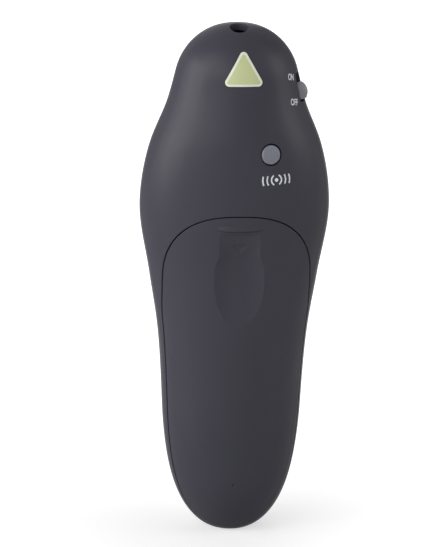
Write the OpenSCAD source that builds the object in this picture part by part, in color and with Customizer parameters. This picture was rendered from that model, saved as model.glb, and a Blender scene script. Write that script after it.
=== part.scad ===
// Wireless presentation clicker: a hand-held remote with a laser pointer in its
// nose, a slide switch on its flank, a pairing button, five keys on its front and
// two AAA cells behind a sliding door.
// Frame: +Z runs up its length from the flat tail foot, the door faces -Y and the
// keys face +Y. The two case halves part at the plane y = 0. Millimetres.

/* [Body] */
// Length from the tail foot to the tip of the nose
body_l = 117.5; // [116:0.5:121]
// Greatest width, across the shoulders
body_w = 43.2; // [42.6:0.1:44.2]
// Greatest depth of the door side, behind the parting plane
back_d = 13.8; // [13.6:0.1:14.4]
// Greatest depth of the key side, in front of the parting plane
front_d = 12.2; // [12:0.1:12.8]
// Wall thickness of the mouldings
wall = 1.6; // [1.4:0.1:1.8]

/* [Battery door] */
// Half width of the door where its sides run straight
door_hw = 16.8; // [16.6:0.1:17]
// Height at which the door's arched top begins
door_shoulder_z = 60; // [58:0.5:62]
// Rise of the arch above that height
door_rise = 15.8; // [14:0.2:17]
// Depth of the door's side seam behind the parting plane
seam_y = 4.3; // [4.2:0.1:4.4]
// Gap all round the door
seam_gap = 0.2; // [0.1:0.05:0.3]

/* [Cells] */
// Diameter of an AAA cell
cell_d = 10.5; // [10.2:0.1:10.5]
// Length of an AAA cell over its button
cell_l = 44.5; // [43.8:0.1:44.5]
// Height of the battery contacts' lower plate
contact_z = 17.9; // [17.5:0.1:18.3]

/* [Keys] */
// How far each key stands proud of the bezel
key_proud = 0.6; // [0.4:0.1:0.8]
// Gap round each key
key_gap = 0.3; // [0.25:0.05:0.4]
// Key travel down to its switch's stop
key_travel = 0.3; // [0.2:0.05:0.35]

/* [Pairing button] */
// Diameter of the pairing button
connect_d = 4.4; // [4:0.1:4.8]
// Gap round the pairing button
connect_gap = 0.3; // [0.2:0.05:0.4]
// Travel of the pairing button
connect_travel = 0.3; // [0.2:0.05:0.35]

/* [Power switch] */
// Length of the switch slot along the flank
slot_l = 6.7; // [6.5:0.1:7.1]
// Width of the switch slot
slot_w = 3.6; // [3.4:0.1:4]
// Length of the sliding knob
knob_l = 3.9; // [3.7:0.1:4.1]
// Distance that the knob slides
knob_travel = 1.6; // [1.4:0.1:1.7]

/* [Laser] */
// Diameter of the laser aperture in the nose
aperture_d = 4.2; // [3.6:0.1:4.6]
// Outer diameter of the laser barrel
barrel_d = 6.5; // [6.2:0.1:6.6]

/* [Screws] */
// Thread diameter of the case screws
screw_d = 2.0; // [1.8:0.1:2.2]
// Distance of the two upper case screws from the centre line
screw_x = 14.2; // [14.1:0.1:14.4]

/* [Hidden] */

round_fn = 48;
wire_fn = 16;
eps = 0.02;
// Reach of a cutter past what it cuts
reach = 3;
// Half width of a block that the case trims to its own shape
full_hw = 22;

// Outline of the body: stations up its length and its size at each of them, drawn
// for a body 117.5 long, 43.2 wide and 13.8 and 12.2 deep, and scaled to this one
kz = body_l / 117.5;
width_z = kz * [0, 22, 34, 48, 60, 77, 90, 100, 108, 118];
half_widths = body_w / 43.2 * [16.0, 15.8, 16.2, 17.3, 19.2, 21.6, 19.5, 15.6, 13.5, 10.9];
depth_z = kz * [0, 20, 32, 70, 90, 104, 118];
back_depths = back_d / 13.8 * [12.8, 13.4, 13.8, 13.8, 13.0, 11.0, 9.6];
front_depths = front_d / 12.2 * [10.5, 11.4, 11.8, 12.2, 11.6, 10.2, 9.0];
foot_cut = 0.9;
tail_h = 32;
tail_p = 2.35;
tail_depth_h = 16;
tail_depth_p = 2.3;
nose_h = 10.6;
nose_p = 2.34;
nose_depth_h = 12;
nose_depth_p = 2.2;
rings = 30;
sectors = 20;
// Half the step, in degrees, over which the skin's normal is taken
normal_step = 0.5;
foot_angle = acos(1 - 2 * foot_cut / (body_l + foot_cut));

// Value between stations: a cubic through them with averaged slopes
function station(z, zs, i = 0) = i >= len(zs) - 2 || z < zs[i + 1] ? i : station(z, zs, i + 1);
function chord(zs, vs, i) = (vs[i + 1] - vs[i]) / (zs[i + 1] - zs[i]);
function slope(zs, vs, i) =
    i == 0 ? chord(zs, vs, 0)
    : i == len(zs) - 1 ? chord(zs, vs, i - 1)
    : let (a = zs[i] - zs[i - 1], b = zs[i + 1] - zs[i])
        (chord(zs, vs, i) * a + chord(zs, vs, i - 1) * b) / (a + b);
function between(z, zs, vs) =
    let (i = station(z, zs), h = zs[i + 1] - zs[i], t = (z - zs[i]) / h)
    vs[i] * (1 + 2 * t) * (1 - t) * (1 - t) + slope(zs, vs, i) * h * t * (1 - t) * (1 - t)
    + vs[i + 1] * t * t * (3 - 2 * t) - slope(zs, vs, i + 1) * h * t * t * (1 - t);

// Rounding toward an end: 1 where t is 0 or less, 0 where t is 1
function rounding(t, p) = pow(max(0, 1 - pow(max(0, min(1, t)), p)), 1 / p);
function half_width(z) =
    between(z, width_z, half_widths)
    * rounding((tail_h - z) / (tail_h + foot_cut), tail_p)
    * rounding((z - (body_l - nose_h)) / nose_h, nose_p);
function half_depth(z, depths) =
    between(z, depth_z, depths)
    * rounding((tail_depth_h - z) / (tail_depth_h + foot_cut), tail_depth_p)
    * rounding((z - (body_l - nose_depth_h)) / nose_depth_h, nose_depth_p);

// Depth of the surface at a place on the back or the front, inset by a wall
function depth_at(x, z, depths, inset = 0) =
    (half_depth(z, depths) - inset) * sqrt(max(0, 1 - pow(x / (half_width(z) - inset), 2)));

// A point of the outer skin, its outward normal, and the point offset along it
function ring_z(t) = (body_l + foot_cut) * (1 - cos(t)) / 2 - foot_cut;
function ring_angle(z) = acos(1 - 2 * (z + foot_cut) / (body_l + foot_cut));
function skin(t, a, depths) =
    let (z = ring_z(t)) [half_width(z) * cos(a), half_depth(z, depths) * sin(a), z];
function normal(t, a, depths) =
    let (h = normal_step,
         n = cross(skin(t, a + h, depths) - skin(t, a - h, depths),
                   skin(t + h, a, depths) - skin(t - h, a, depths)))
    n / norm(n);
function offset_skin(t, a, depths, out) = skin(t, a, depths) + out * normal(t, a, depths);

// Half of the body in front of y = 0, from one offset of the skin in to another.
// Its last ring ends in a point at the nose and its first in a flat foot.
module half_layer(depths, outer, inner) {
    row = sectors + 1;
    apex = rings * row;
    foot = apex + 1;
    side = foot + 1;
    function grid(out) = concat(
        [for (i = [0:rings - 1], j = [0:sectors])
            offset_skin(foot_angle + (180 - foot_angle) * i / rings, 180 * j / sectors, depths, out)],
        [[0, 0, body_l + out], [0, 0, -out]]);
    function corner(s, i, j) = s * side + i * row + j;
    function turned(s, face) = s == 0 ? face : [for (k = [len(face) - 1:-1:0]) face[k]];
    skins = [for (s = [0, 1], i = [0:rings - 2], j = [0:sectors - 1], h = [0, 1])
        turned(s, h == 0
            ? [corner(s, i, j), corner(s, i + 1, j), corner(s, i + 1, j + 1)]
            : [corner(s, i, j), corner(s, i + 1, j + 1), corner(s, i, j + 1)])];
    ends = [for (s = [0, 1], j = [0:sectors - 1], h = [0, 1])
        turned(s, h == 0
            ? [corner(s, rings - 1, j), s * side + apex, corner(s, rings - 1, j + 1)]
            : [s * side + foot, corner(s, 0, j), corner(s, 0, j + 1)])];
    rims = [for (i = [0:rings - 1], j = [0, sectors])
        let (next_o = i == rings - 1 ? apex : corner(0, i + 1, j),
             next_i = i == rings - 1 ? side + apex : corner(1, i + 1, j))
        turned(j == 0 ? 0 : 1, [corner(0, i, j), corner(1, i, j), next_i, next_o])];
    soles = [[corner(0, 0, 0), foot, side + foot, corner(1, 0, 0)],
             [corner(0, 0, sectors), corner(1, 0, sectors), side + foot, foot]];
    polyhedron(concat(grid(outer), grid(inner)), concat(skins, ends, rims, soles), convexity = 6);
}

// Half of the body in front of y = 0, filled, from an offset of the skin
module half_solid(depths, out) {
    row = sectors + 1;
    apex = rings * row;
    foot = apex + 1;
    points = concat(
        [for (i = [0:rings - 1], j = [0:sectors])
            offset_skin(foot_angle + (180 - foot_angle) * i / rings, 180 * j / sectors, depths, out)],
        [[0, 0, body_l + out], [0, 0, -out]]);
    skins = [for (i = [0:rings - 2], j = [0:sectors - 1], h = [0, 1])
        h == 0 ? [i * row + j, (i + 1) * row + j, (i + 1) * row + j + 1]
               : [i * row + j, (i + 1) * row + j + 1, i * row + j + 1]];
    ends = [for (j = [0:sectors - 1], h = [0, 1])
        h == 0 ? [(rings - 1) * row + j, apex, (rings - 1) * row + j + 1]
               : [foot, j, j + 1]];
    parting = [for (i = [rings - 1:-1:0]) i * row];
    far_parting = [for (i = [0:rings - 1]) i * row + sectors];
    polyhedron(points, concat(skins, ends, [concat(parting, [foot], far_parting, [apex])]), convexity = 4);
}

// A curved slab of the skin between two heights and two angles
module skin_slab(depths, low, high, angle, outer, inner, steps = 10, turns = 10) {
    row = turns + 1;
    side = (steps + 1) * row;
    function grid(out) = [for (i = [0:steps], j = [0:turns])
        offset_skin(ring_angle(low) + (ring_angle(high) - ring_angle(low)) * i / steps,
                    90 - angle + 2 * angle * j / turns, depths, out)];
    function turned(s, face) = s == 0 ? face : [for (k = [len(face) - 1:-1:0]) face[k]];
    skins = [for (s = [0, 1], i = [0:steps - 1], j = [0:turns - 1], h = [0, 1])
        turned(s, [for (k = h == 0 ? [0, row, row + 1] : [0, row + 1, 1]) s * side + i * row + j + k])];
    flanks = [for (s = [0, 1], i = [0:steps - 1], h = [0, 1])
        let (k = i * row + s * turns)
        turned(s, h == 0 ? [k, side + k, side + k + row] : [k, side + k + row, k + row])];
    caps = [for (s = [0, 1], j = [0:turns - 1], h = [0, 1])
        let (k = s * steps * row + j)
        turned(s, h == 0 ? [k, k + 1, side + k + 1] : [k, side + k + 1, side + k])];
    polyhedron(concat(grid(outer), grid(inner)), concat(skins, flanks, caps), convexity = 6);
}

module back_half() { mirror([0, 1, 0]) children(); }

// A column along Y with an oval outline in X and Z
function oval(rx, rz, p, n) =
    [for (i = [0:n - 1]) let (a = 360 * i / n)
        [rx * sign(cos(a)) * pow(abs(cos(a)), 2 / p), rz * sign(sin(a)) * pow(abs(sin(a)), 2 / p)]];
module oval_column(x, z, rx, rz, p, y0, y1, n = 36) {
    translate([x, y1, z]) rotate([90, 0, 0]) linear_extrude(y1 - y0) polygon(oval(rx, rz, p, n));
}

// A cylinder along +Y from y0 to y1
module pin_y(x, z, d, y0, y1) {
    translate([x, y0, z]) rotate([-90, 0, 0]) cylinder(h = y1 - y0, d = d, $fn = round_fn);
}

// A box from one corner to the opposite one
module block(a, b) { translate(a) cube(b - a); }

// A straight wire between two points
module wire(a, b, d) {
    v = b - a;
    translate(a) rotate([0, acos(v.z / norm(v)), atan2(v.y, v.x)])
        cylinder(h = norm(v), d = d, $fn = wire_fn);
}

// ---- Layout ----
// Battery compartment
cell_y = -4.4;
cell_gap = 0.1;
cell_x = cell_d / 2 + cell_gap;
cell_body_l = cell_l - 1;
button_d = 3.8;
spring_h = 3;
spring_r = 3.2;
spring_taper = 0.25;
spring_turns = 5;
bump_h = 0.8;
bump_d = [3.2, 2];
plate_t = 0.4;
plate_hw = 3.9;
plate_y = [cell_y - 2.8, cell_y + 4.6];
contact_top = contact_z + cell_l + spring_h + bump_h;
tray_wall = 1.2;
tray_side = 0.8;
tray_floor_t = 0.9;
tray_lug_d = 8.8;
tray_lug_y = -8.2;
tray_low = contact_z - plate_t - tray_wall;
tray_high = contact_top + plate_t + tray_wall;
tray_floor_y = cell_y + cell_d / 2 + cell_gap;
tray_hw = 2 * cell_x + 0.9;
tray_gap = 0.1;
deck_low = 2.2;
deck_front = -2.7;
deck_back = -3.9;
bulkhead_z = door_shoulder_z + door_rise + 1;
bulkhead_t = 1.2;
inside_front = -0.2;

// Foam pad on the door, in the valley between the cells
pad_z = 36;
pad_hw = 2.5;
pad_hl = 2;
pad_gap = 0.1;
pad_glue = 0.03;
pad_front = cell_y - sqrt(pow(cell_d / 2, 2) - pow(cell_x - pad_hw, 2)) - pad_gap;

// Main board, in front of the cells, and the shelves that it rests on
board_t = 1.0;
board_back = tray_floor_y + tray_floor_t + 1.35;
board_front = board_back + board_t;
board_hw = 10.8;
board_z0 = 24;
board_z1 = 101 * kz;
board_corner_p = 9;
shelf_z = kz * [78, 90];
shelf_t = 1.6;
shelf_lap = 1;

// Parts on the back of the board: centre in X and Z, then width, length, height
crystal_at = [4.5, tray_high + 8.2];
crystal_size = [6.2, 4.4, 3.2];
chip_k = (board_z1 - crystal_at.y) / 25;
controller_at = [-4.5, crystal_at.y + 3 * chip_k];
controller_size = [7, 7, 1.1];
radio_at = [-5.6, crystal_at.y + 14.5 * chip_k];
radio_size = [4, 4, 0.9];
capacitor_size = [1.25, 1.9, 0.9];
right_row_at = [9.2, crystal_at.y + 5];
right_row_pitch = 2.4;
lower_row_at = [-8.6, controller_at.y - 5.8];
lower_row_pitch = 2.2;
lone_capacitor_at = [-2.7, radio_at.y];
antenna_x = [-9.2, -2.6];
antenna_z = kz * [95.4, 98.2];
antenna_h = 2.4;
antenna_t = 0.3;
led_hw = 1.4;
led_hl = 1.75;
led_h = 1.5;

// Tactile switches, their plungers and the keys over them
switch_h = 3.3;
switch_side = 6;
plunger_d = 3.4;
plunger_l = 1.6;
plunger_top = board_front + switch_h + 1;
plunger_base = plunger_top - plunger_l;
plunger_gap = 0.1;
flange_drop = 1.3;
flange_t = 0.6;
flange_side = 0.8;
flange_end = 0.2;
stem_share = 0.9;
bezel_t = 1.0;
bezel_rx = 12.6;
bezel_rz = 30 * kz;
bezel_z = 76 * kz;
bezel_p = 2.8;
bezel_fit = 0.1;
ledge = 1.0;
key_angle = 60;
keypad_angle = 72;
// Cutters along Y on the front start here and end past the skin
front_cut = [2, front_d + 4];
// Each key: x, z, half width, half height, roundness of its outline
laser_pad = [0, 97 * kz, 4.2, 4.2 * kz, 2];
next_pad = [0, 85.2 * kz, 8.2, 6.6 * kz, 2.8];
back_pad = [0, 71 * kz, 8.2, 6.6 * kz, 2.8];
start_pad = [-5, 56.6 * kz, 3.6, 3.1 * kz, 2.2];
blank_pad = [5, 56.6 * kz, 3.6, 3.1 * kz, 2.2];
pads = [laser_pad, next_pad, back_pad, start_pad, blank_pad];
led_z = 61.8 * kz;
led_d = 1.8;
led_gap = 0.1;

// Door rails and the hooks on the deck that hold them, and the door's tongue
rail_z = [44, 54];
rail_x = cell_x * 2 + 0.25;
rail_t = 0.6;
rail_end_y = deck_back - 0.4;
lip_w = 0.8;
lip_t = 0.7;
lip_gap = 0.1;
rail_gap = 0.3;
hook_h = 2;
hook_t = 0.6;
tongue_hw = 5;
tongue_y = [-11, -9.8];
tongue_z = [72, bulkhead_z + 2.2];
tongue_root = 3;
tongue_gap = 0.3;

// Thumb recess, grip bar and arrow on the door
arch_power = 0.8;
arch_step = 6;
scoop_z = 60.5;
scoop_rx = 5.65;
scoop_rz = [9.6, 18];
scoop_top = 72.05;
scoop_step = 10;
scoop_steps = 4;
scoop_depth = 1.2;
scoop_dish_r = 50;
scoop_dish_z = 63.5;
scoop_floor_t = 1.0;
scoop_lap = 0.8;
bar_z = 73.1;
bar_hw = 5.0;
bar_rz = 0.75;
bar_p = 3;
bar_proud = 0.3;
bar_root = 1.2;
arrow_z = [67.2, 69.5];
arrow_hw = 2.1;

// Pairing button, square to the skin at its place, and the switch behind it
connect_x = 6.8;
connect_z = bulkhead_z + (body_l - bulkhead_z) * 0.317;
connect_y = -depth_at(connect_x, connect_z, back_depths);
connect_turn = 15;
connect_tilt = 8;
connect_cap_t = 1.6;
connect_stem_d = 2.4;
connect_switch_x = 4.2;
connect_switch_z = connect_z - 1.5;
connect_switch_h = 3.5;
connect_switch_y = board_back - connect_switch_h;
connect_plunger_y = [connect_switch_y - 1.5, connect_switch_y + 1];
connect_stem_gap = 0.55;
connect_stem_l = (connect_plunger_y[0] - connect_stem_gap - connect_y)
    / (cos(connect_turn) * cos(connect_tilt));

// Power switch, square to the skin at its place
power_z = 103.4 * kz;
power_y = -2.9;
power_x = half_width(power_z) * sqrt(1 - pow(power_y / half_depth(power_z, back_depths), 2));
power_turn = 20;
power_tilt = 17;
knob_end_gap = (slot_l - knob_l - knob_travel) / 2;
knob_side_gap = 0.2;
knob_proud = 1.4;
knob_root = 1.9;
// How far the knob's crown falls to its ends and to its sides
knob_end_fall = 1.0;
knob_side_fall = 0.8;
peg_hw = 0.6;
peg_hl = 1;
peg_root = 3.2;
power_body_w = 3.6;
power_body_d = 3.4;
power_body_l = 8.6;
power_body_out = -2.0;
power_recess = 1.5;
power_recess_hw = 0.9;
power_recess_end = 1.3;
lead_d = 0.6;
lead_lift = 0.4;
switch_lead_pitch = 2;
switch_lead_clear = 0.15;
switch_lead_end = [board_hw - 3.2, board_back - lead_lift, 95 * kz];
switch_lead_fan = 1.4;

// Laser, behind the aperture
laser_y = -3.1;
window_z = body_l - 4.2;
window_d = 4.8;
window_t = 1;
window_gap = 0.1;
holder_d = window_d + 1.1;
holder_z = [window_z - 1.2, window_z + 1.9];
barrel_z0 = body_l - 17.5 * kz;
barrel_z1 = body_l - 7 * kz;
barrel_bore = barrel_d - 1.5;
lens_drop = 2.4;
lens_t = [1, 1.35, 1.5];
lens_dome = 0.7;
diode_z = barrel_z0 + 1;
diode_base_t = 1;
diode_l = 2.6;
diode_d = 3.5;
laser_board_t = 0.8;
laser_lead_x = 1.5;
laser_lead_z = connect_switch_z + switch_side / 2 + 1.5;
saddle_z = [barrel_z0 + 1.5, barrel_z1 - 2.7];
saddle_x = [-8, 6.5];
saddle_t = 1.2;

// Screws
screw_z = 60;
tail_screw_z = 10.5;
tail_screw_l = 8;
head_d = 3.6;
head_t = 1.4;
head_gap = 0.1;
thread_gap = 0.04;
shank_gap = 0.2;
boss_wall = 1.15;
pocket_wall = 0.5;
screw_tip_gap = 1.54;
board_screw_x = 7.5;
board_screw_z = 28.5;
board_head_t = 0.9;
board_screw_l = 3.2;
tail_boss_y = depth_at(0, tail_screw_z, front_depths, wall) + wall / 2;
side_boss_y = depth_at(screw_x + screw_d / 2 + boss_wall, screw_z, front_depths) - wall / 4;
board_boss_y = depth_at(board_screw_x, board_screw_z, front_depths, wall) + wall / 2;
head_y = deck_back + head_gap;
side_screw_l = side_boss_y - wall / 2 - screw_tip_gap - head_y - head_t;

// Blank sticker near the nose: a rounded triangle
sticker_x = 0.5;
sticker_z = 107.6 * kz;
sticker_r = 4.7;
sticker_corner_r = 0.9;
sticker_lift = [0.06, 0.16];

// ---- Case ----
module bezel_column(grow) {
    oval_column(0, bezel_z, bezel_rx + grow, bezel_rz + grow, bezel_p, front_cut[0], front_cut[1], 36);
}

module keypad_slab(outer, inner) {
    skin_slab(front_depths, bezel_z - bezel_rz - reach, bezel_z + bezel_rz + reach,
              keypad_angle, outer, inner, 8, 8);
}

module front_boss(x, z, y1) {
    pin_y(x, z, screw_d + 2 * boss_wall, 0, y1);
}

module front_shell() {
    color([0.19, 0.19, 0.21])
    difference() {
        union() {
            difference() {
                half_layer(front_depths, 0, -wall);
                bezel_column(bezel_fit);
            }
            intersection() {
                keypad_slab(-bezel_t - eps, -bezel_t - ledge);
                difference() {
                    bezel_column(ledge);
                    bezel_column(-ledge);
                }
            }
            for (s = [-1, 1]) {
                front_boss(s * screw_x, screw_z, side_boss_y);
                pin_y(s * board_screw_x, board_screw_z, screw_d + 2 * boss_wall, board_front, board_boss_y);
            }
            front_boss(0, tail_screw_z, tail_boss_y);
            intersection() {
                half_solid(front_depths, -wall / 2);
                for (s = [0, 1], z0 = shelf_z)
                    mirror([s, 0, 0])
                        block([board_hw - shelf_lap, board_front, z0],
                              [full_hw, board_front + shelf_t, z0 + shelf_t]);
            }
        }
        for (s = [-1, 1]) {
            pin_y(s * screw_x, screw_z, screw_d + thread_gap, -reach, side_boss_y - wall / 2);
            pin_y(s * board_screw_x, board_screw_z, screw_d + thread_gap, 0, board_boss_y - wall);
        }
        pin_y(0, tail_screw_z, screw_d + thread_gap, -reach, tail_boss_y - wall);
    }
}

// The area that the door covers, as a column along Y
module door_column(grow, depth) {
    half = door_hw + grow;
    arch = [for (a = [0:arch_step:180])
        [half * sign(cos(a)) * pow(abs(cos(a)), arch_power),
         door_shoulder_z + (door_rise + grow) * pow(sin(a), arch_power)]];
    translate([0, -depth, 0]) rotate([90, 0, 0])
        linear_extrude(back_d + reach) polygon(concat(arch, [[-half, -reach], [half, -reach]]));
}

module at_connect() {
    translate([connect_x, connect_y, connect_z])
        rotate([-connect_tilt, 0, 0]) rotate([0, 0, connect_turn]) rotate([-90, 0, 0]) children();
}

module at_power() {
    translate([power_x, power_y, power_z]) rotate([0, -power_tilt, -power_turn]) children();
}

module screw_boss(x, z) { pin_y(x, z, head_d + 2 * pocket_wall, deck_back, 0); }

module screw_hole(x, z) {
    pin_y(x, z, head_d + head_gap, deck_back - reach, head_y + head_t);
    pin_y(x, z, screw_d + shank_gap, deck_back, reach);
}

module rear_shell() {
    color([0.17, 0.17, 0.19])
    difference() {
        union() {
            difference() {
                back_half() half_layer(back_depths, 0, -wall);
                door_column(seam_gap / 2, seam_y - seam_gap / 2);
            }
            intersection() {
                back_half() half_solid(back_depths, -wall / 2);
                rear_inside();
            }
            difference() {
                translate([0, laser_y, holder_z[0]])
                    cylinder(h = holder_z[1] - holder_z[0], d = holder_d, $fn = round_fn);
                block([-holder_d, -window_gap, holder_z[0] - reach], [holder_d, holder_d, holder_z[1] + reach]);
            }
        }
        for (s = [-1, 1]) screw_hole(s * screw_x, screw_z);
        screw_hole(0, tail_screw_z);
        translate([0, laser_y, window_z + window_t - reach])
            cylinder(h = reach, d = window_d + window_gap, $fn = round_fn);
        translate([0, laser_y, window_z]) cylinder(h = body_l - window_z + reach, d = aperture_d, $fn = round_fn);
        at_connect() translate([0, 0, -reach])
            cylinder(h = 2 * reach, d = connect_d + 2 * connect_gap, $fn = round_fn);
        at_power() block([-reach, -slot_w / 2, -slot_l / 2], [reach, slot_w / 2, slot_l / 2]);
    }
}

// Deck under the door, bulkhead, door ledges, screw bosses and the laser's saddles
module rear_inside() {
    hook_x = rail_x + rail_t + lip_w + rail_gap;
    difference() {
        union() {
            block([-full_hw, deck_back, deck_low], [full_hw, deck_front, bulkhead_z]);
            block([-full_hw, -back_d, bulkhead_z], [full_hw, inside_front, bulkhead_z + bulkhead_t]);
        }
        block([-2 * cell_x - tray_gap, deck_back - reach, tray_low - tray_gap],
              [2 * cell_x + tray_gap, deck_front + reach, tray_high + tray_gap]);
        block([-tongue_hw - tongue_gap, tongue_y[0] - tongue_gap, bulkhead_z - reach],
              [tongue_hw + tongue_gap, tongue_y[1] + tongue_gap, bulkhead_z + reach]);
    }
    for (s = [0, 1]) mirror([s, 0, 0]) {
        block([hook_x, deck_back - hook_h, rail_z[0]], [hook_x + hook_t, deck_back + eps, rail_z[1]]);
        block([rail_x + rail_t + rail_gap, deck_back - hook_h, rail_z[0]],
              [hook_x + eps, deck_back - hook_h + hook_t, rail_z[1]]);
        screw_boss(screw_x, screw_z);
    }
    screw_boss(0, tail_screw_z);
    difference() {
        for (z = saddle_z)
            block([saddle_x[0], -back_d, z], [saddle_x[1], inside_front, z + saddle_t]);
        translate([0, laser_y, barrel_z0]) cylinder(h = barrel_z1 - barrel_z0, d = barrel_d, $fn = round_fn);
        block([-barrel_d / 2, laser_y, barrel_z0], [barrel_d / 2, reach, barrel_z1]);
    }
}

module battery_tray() {
    color([0.13, 0.13, 0.14])
    difference() {
        union() {
            block([-tray_hw, deck_front, tray_low], [tray_hw, tray_floor_y + tray_floor_t, tray_high]);
            for (z = [tray_low, contact_top + plate_t]) {
                for (s = [-1, 1])
                    translate([s * cell_x, cell_y, z]) cylinder(h = tray_wall, d = tray_lug_d, $fn = round_fn);
                block([-cell_x, tray_lug_y, z], [cell_x, 0, z + tray_wall]);
            }
        }
        block([-tray_hw + tray_side, cell_y - cell_d, contact_z - plate_t],
              [tray_hw - tray_side, tray_floor_y, contact_top + plate_t]);
    }
}

module keypad_bezel() {
    color([0.07, 0.07, 0.08])
    difference() {
        intersection() {
            keypad_slab(0, -bezel_t);
            bezel_column(0);
        }
        for (p = pads)
            oval_column(p[0], p[1], p[2] + key_gap, p[3] + key_gap, p[4], front_cut[0], front_cut[1], 24);
        pin_y(0, led_z, led_d + led_gap, front_cut[0], front_cut[1]);
    }
}

// ---- Door ----
module battery_door() {
    color([0.18, 0.18, 0.20])
    union() {
        difference() {
            intersection() {
                back_half() half_layer(back_depths, 0, -wall);
                door_column(-seam_gap / 2, seam_y + seam_gap / 2);
            }
            scoop_cut();
            arrow_cut();
        }
        scoop_floor();
        oval_column(0, bar_z, bar_hw, bar_rz, bar_p, -back_d - bar_proud, -back_d + bar_root, 24);
        block([-tongue_hw, tongue_y[0], tongue_z[0]], [tongue_hw, tongue_y[1], tongue_z[1]]);
        block([-tongue_hw, -back_d + wall - tongue_gap, tongue_z[0]],
              [tongue_hw, tongue_y[0] + eps, tongue_z[0] + tongue_root]);
        intersection() {
            back_half() half_solid(back_depths, -wall / 2);
            for (s = [0, 1]) mirror([s, 0, 0]) {
                block([rail_x, -back_d, rail_z[0]], [rail_x + rail_t, rail_end_y, rail_z[1]]);
                block([rail_x, rail_end_y - lip_t, rail_z[0]],
                      [rail_x + rail_t + lip_w - lip_gap, rail_end_y, rail_z[1]]);
            }
        }
    }
}

// The thumb recess: a shallow round dish inside an egg that the grip bar cuts off
module scoop_cut() {
    lower = [for (a = [180:scoop_step:360]) [scoop_rx * cos(a), scoop_z + scoop_rz[0] * sin(a)]];
    top_angle = asin((scoop_top - scoop_z) / scoop_rz[1]);
    upper = [for (k = [1:scoop_steps]) let (a = top_angle * k / scoop_steps)
        [scoop_rx * cos(a), scoop_z + scoop_rz[1] * sin(a)]];
    mirrored = [for (k = [scoop_steps - 1:-1:0]) [-upper[k].x, upper[k].y]];
    intersection() {
        translate([0, -back_d + scoop_depth, 0]) rotate([90, 0, 0])
            linear_extrude(reach) polygon(concat(lower, upper, mirrored));
        translate([0, -back_d + scoop_depth - scoop_dish_r, scoop_dish_z]) sphere(r = scoop_dish_r, $fn = 2 * round_fn);
    }
}

// The wall behind the thumb recess, moved inward to keep its thickness
module scoop_floor() {
    floor_y = -back_d + scoop_depth + scoop_floor_t;
    intersection() {
        back_half() skin_slab(back_depths, scoop_z - scoop_rz[0] - reach, scoop_top + reach, 30,
                              -bar_proud, -wall - scoop_floor_t, 6, 6);
        block([-scoop_rx - scoop_lap, floor_y - scoop_floor_t + eps, scoop_z - scoop_rz[0] - scoop_lap],
              [scoop_rx + scoop_lap, floor_y, scoop_top + scoop_lap]);
    }
}

// A shallow triangle in the recess that points toward the tail
module arrow_cut() {
    translate([0, -back_d + scoop_depth, 0]) rotate([90, 0, 0]) linear_extrude(reach)
        polygon([[-arrow_hw, arrow_z[1]], [arrow_hw, arrow_z[1]], [0, arrow_z[0]]]);
}

// Foam glued to the door, in the valley between the cells
module door_pad() {
    color([0.25, 0.25, 0.26])
    intersection() {
        back_half() half_solid(back_depths, -wall - pad_glue);
        block([-pad_hw, -back_d, pad_z - pad_hl], [pad_hw, pad_front, pad_z + pad_hl]);
    }
}

// ---- Keys ----
module key_slab(p, outer, inner) {
    skin_slab(front_depths, p[1] - p[3] - reach, p[1] + p[3] + reach, key_angle, outer, inner, 3, 6);
}

module key(p, tint) {
    stem = min(p[2], p[3]) * stem_share;
    top = depth_at(p[0], p[1], front_depths) - flange_drop - flange_t / 2;
    color(tint)
    union() {
        intersection() {
            key_slab(p, key_proud, -flange_drop - flange_t / 6);
            oval_column(p[0], p[1], p[2], p[3], p[4], front_cut[0], front_cut[1], 24);
        }
        intersection() {
            key_slab(p, -flange_drop, -flange_drop - flange_t);
            oval_column(p[0], p[1], p[2] + flange_side, p[3] + flange_end, p[4], front_cut[0], front_cut[1], 24);
        }
        pin_y(p[0], p[1], stem, plunger_top, top);
    }
}

module plunger(p) {
    color([0.08, 0.08, 0.08]) pin_y(p[0], p[1], plunger_d, plunger_base, plunger_top);
}

module laser_key() { key(laser_pad, [0.62, 0.12, 0.12]); }
module next_key() { key(next_pad, [0.33, 0.34, 0.37]); }
module back_key() { key(back_pad, [0.33, 0.34, 0.37]); }
module start_key() { key(start_pad, [0.33, 0.34, 0.37]); }
module blank_key() { key(blank_pad, [0.33, 0.34, 0.37]); }
module laser_plunger() { plunger(laser_pad); }
module next_plunger() { plunger(next_pad); }
module back_plunger() { plunger(back_pad); }
module start_plunger() { plunger(start_pad); }
module blank_plunger() { plunger(blank_pad); }

module key_switches() {
    half = switch_side / 2;
    color([0.72, 0.73, 0.75])
    for (p = pads)
        difference() {
            block([p[0] - half, board_front, p[1] - half], [p[0] + half, board_front + switch_h, p[1] + half]);
            pin_y(p[0], p[1], plunger_d + plunger_gap, plunger_base - key_travel - plunger_gap, plunger_top);
        }
}

// ---- Main board and its parts ----
module main_board() {
    mid = (board_z0 + board_z1) / 2;
    half = (board_z1 - board_z0) / 2;
    color([0.05, 0.33, 0.18])
    difference() {
        oval_column(0, mid, board_hw, half, board_corner_p, board_back, board_front, 60);
        for (s = [-1, 1])
            pin_y(s * board_screw_x, board_screw_z, screw_d + shank_gap, board_back - reach, board_front + reach);
    }
}

// A part that lies on the back of the board
module chip(at, size) {
    block([at.x - size.x / 2, board_back - size.z, at.y - size.y / 2],
          [at.x + size.x / 2, board_back, at.y + size.y / 2]);
}

module controller_chip() { color([0.09, 0.09, 0.10]) chip(controller_at, controller_size); }
module radio_chip() { color([0.11, 0.11, 0.12]) chip(radio_at, radio_size); }

module crystal_can() {
    color([0.80, 0.81, 0.83])
    union() {
        chip(crystal_at, crystal_size);
        for (s = [-1, 1])
            pin_y(crystal_at.x + s * crystal_size.x / 2, crystal_at.y, crystal_size.y,
                  board_back - crystal_size.z, board_back);
    }
}

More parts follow.
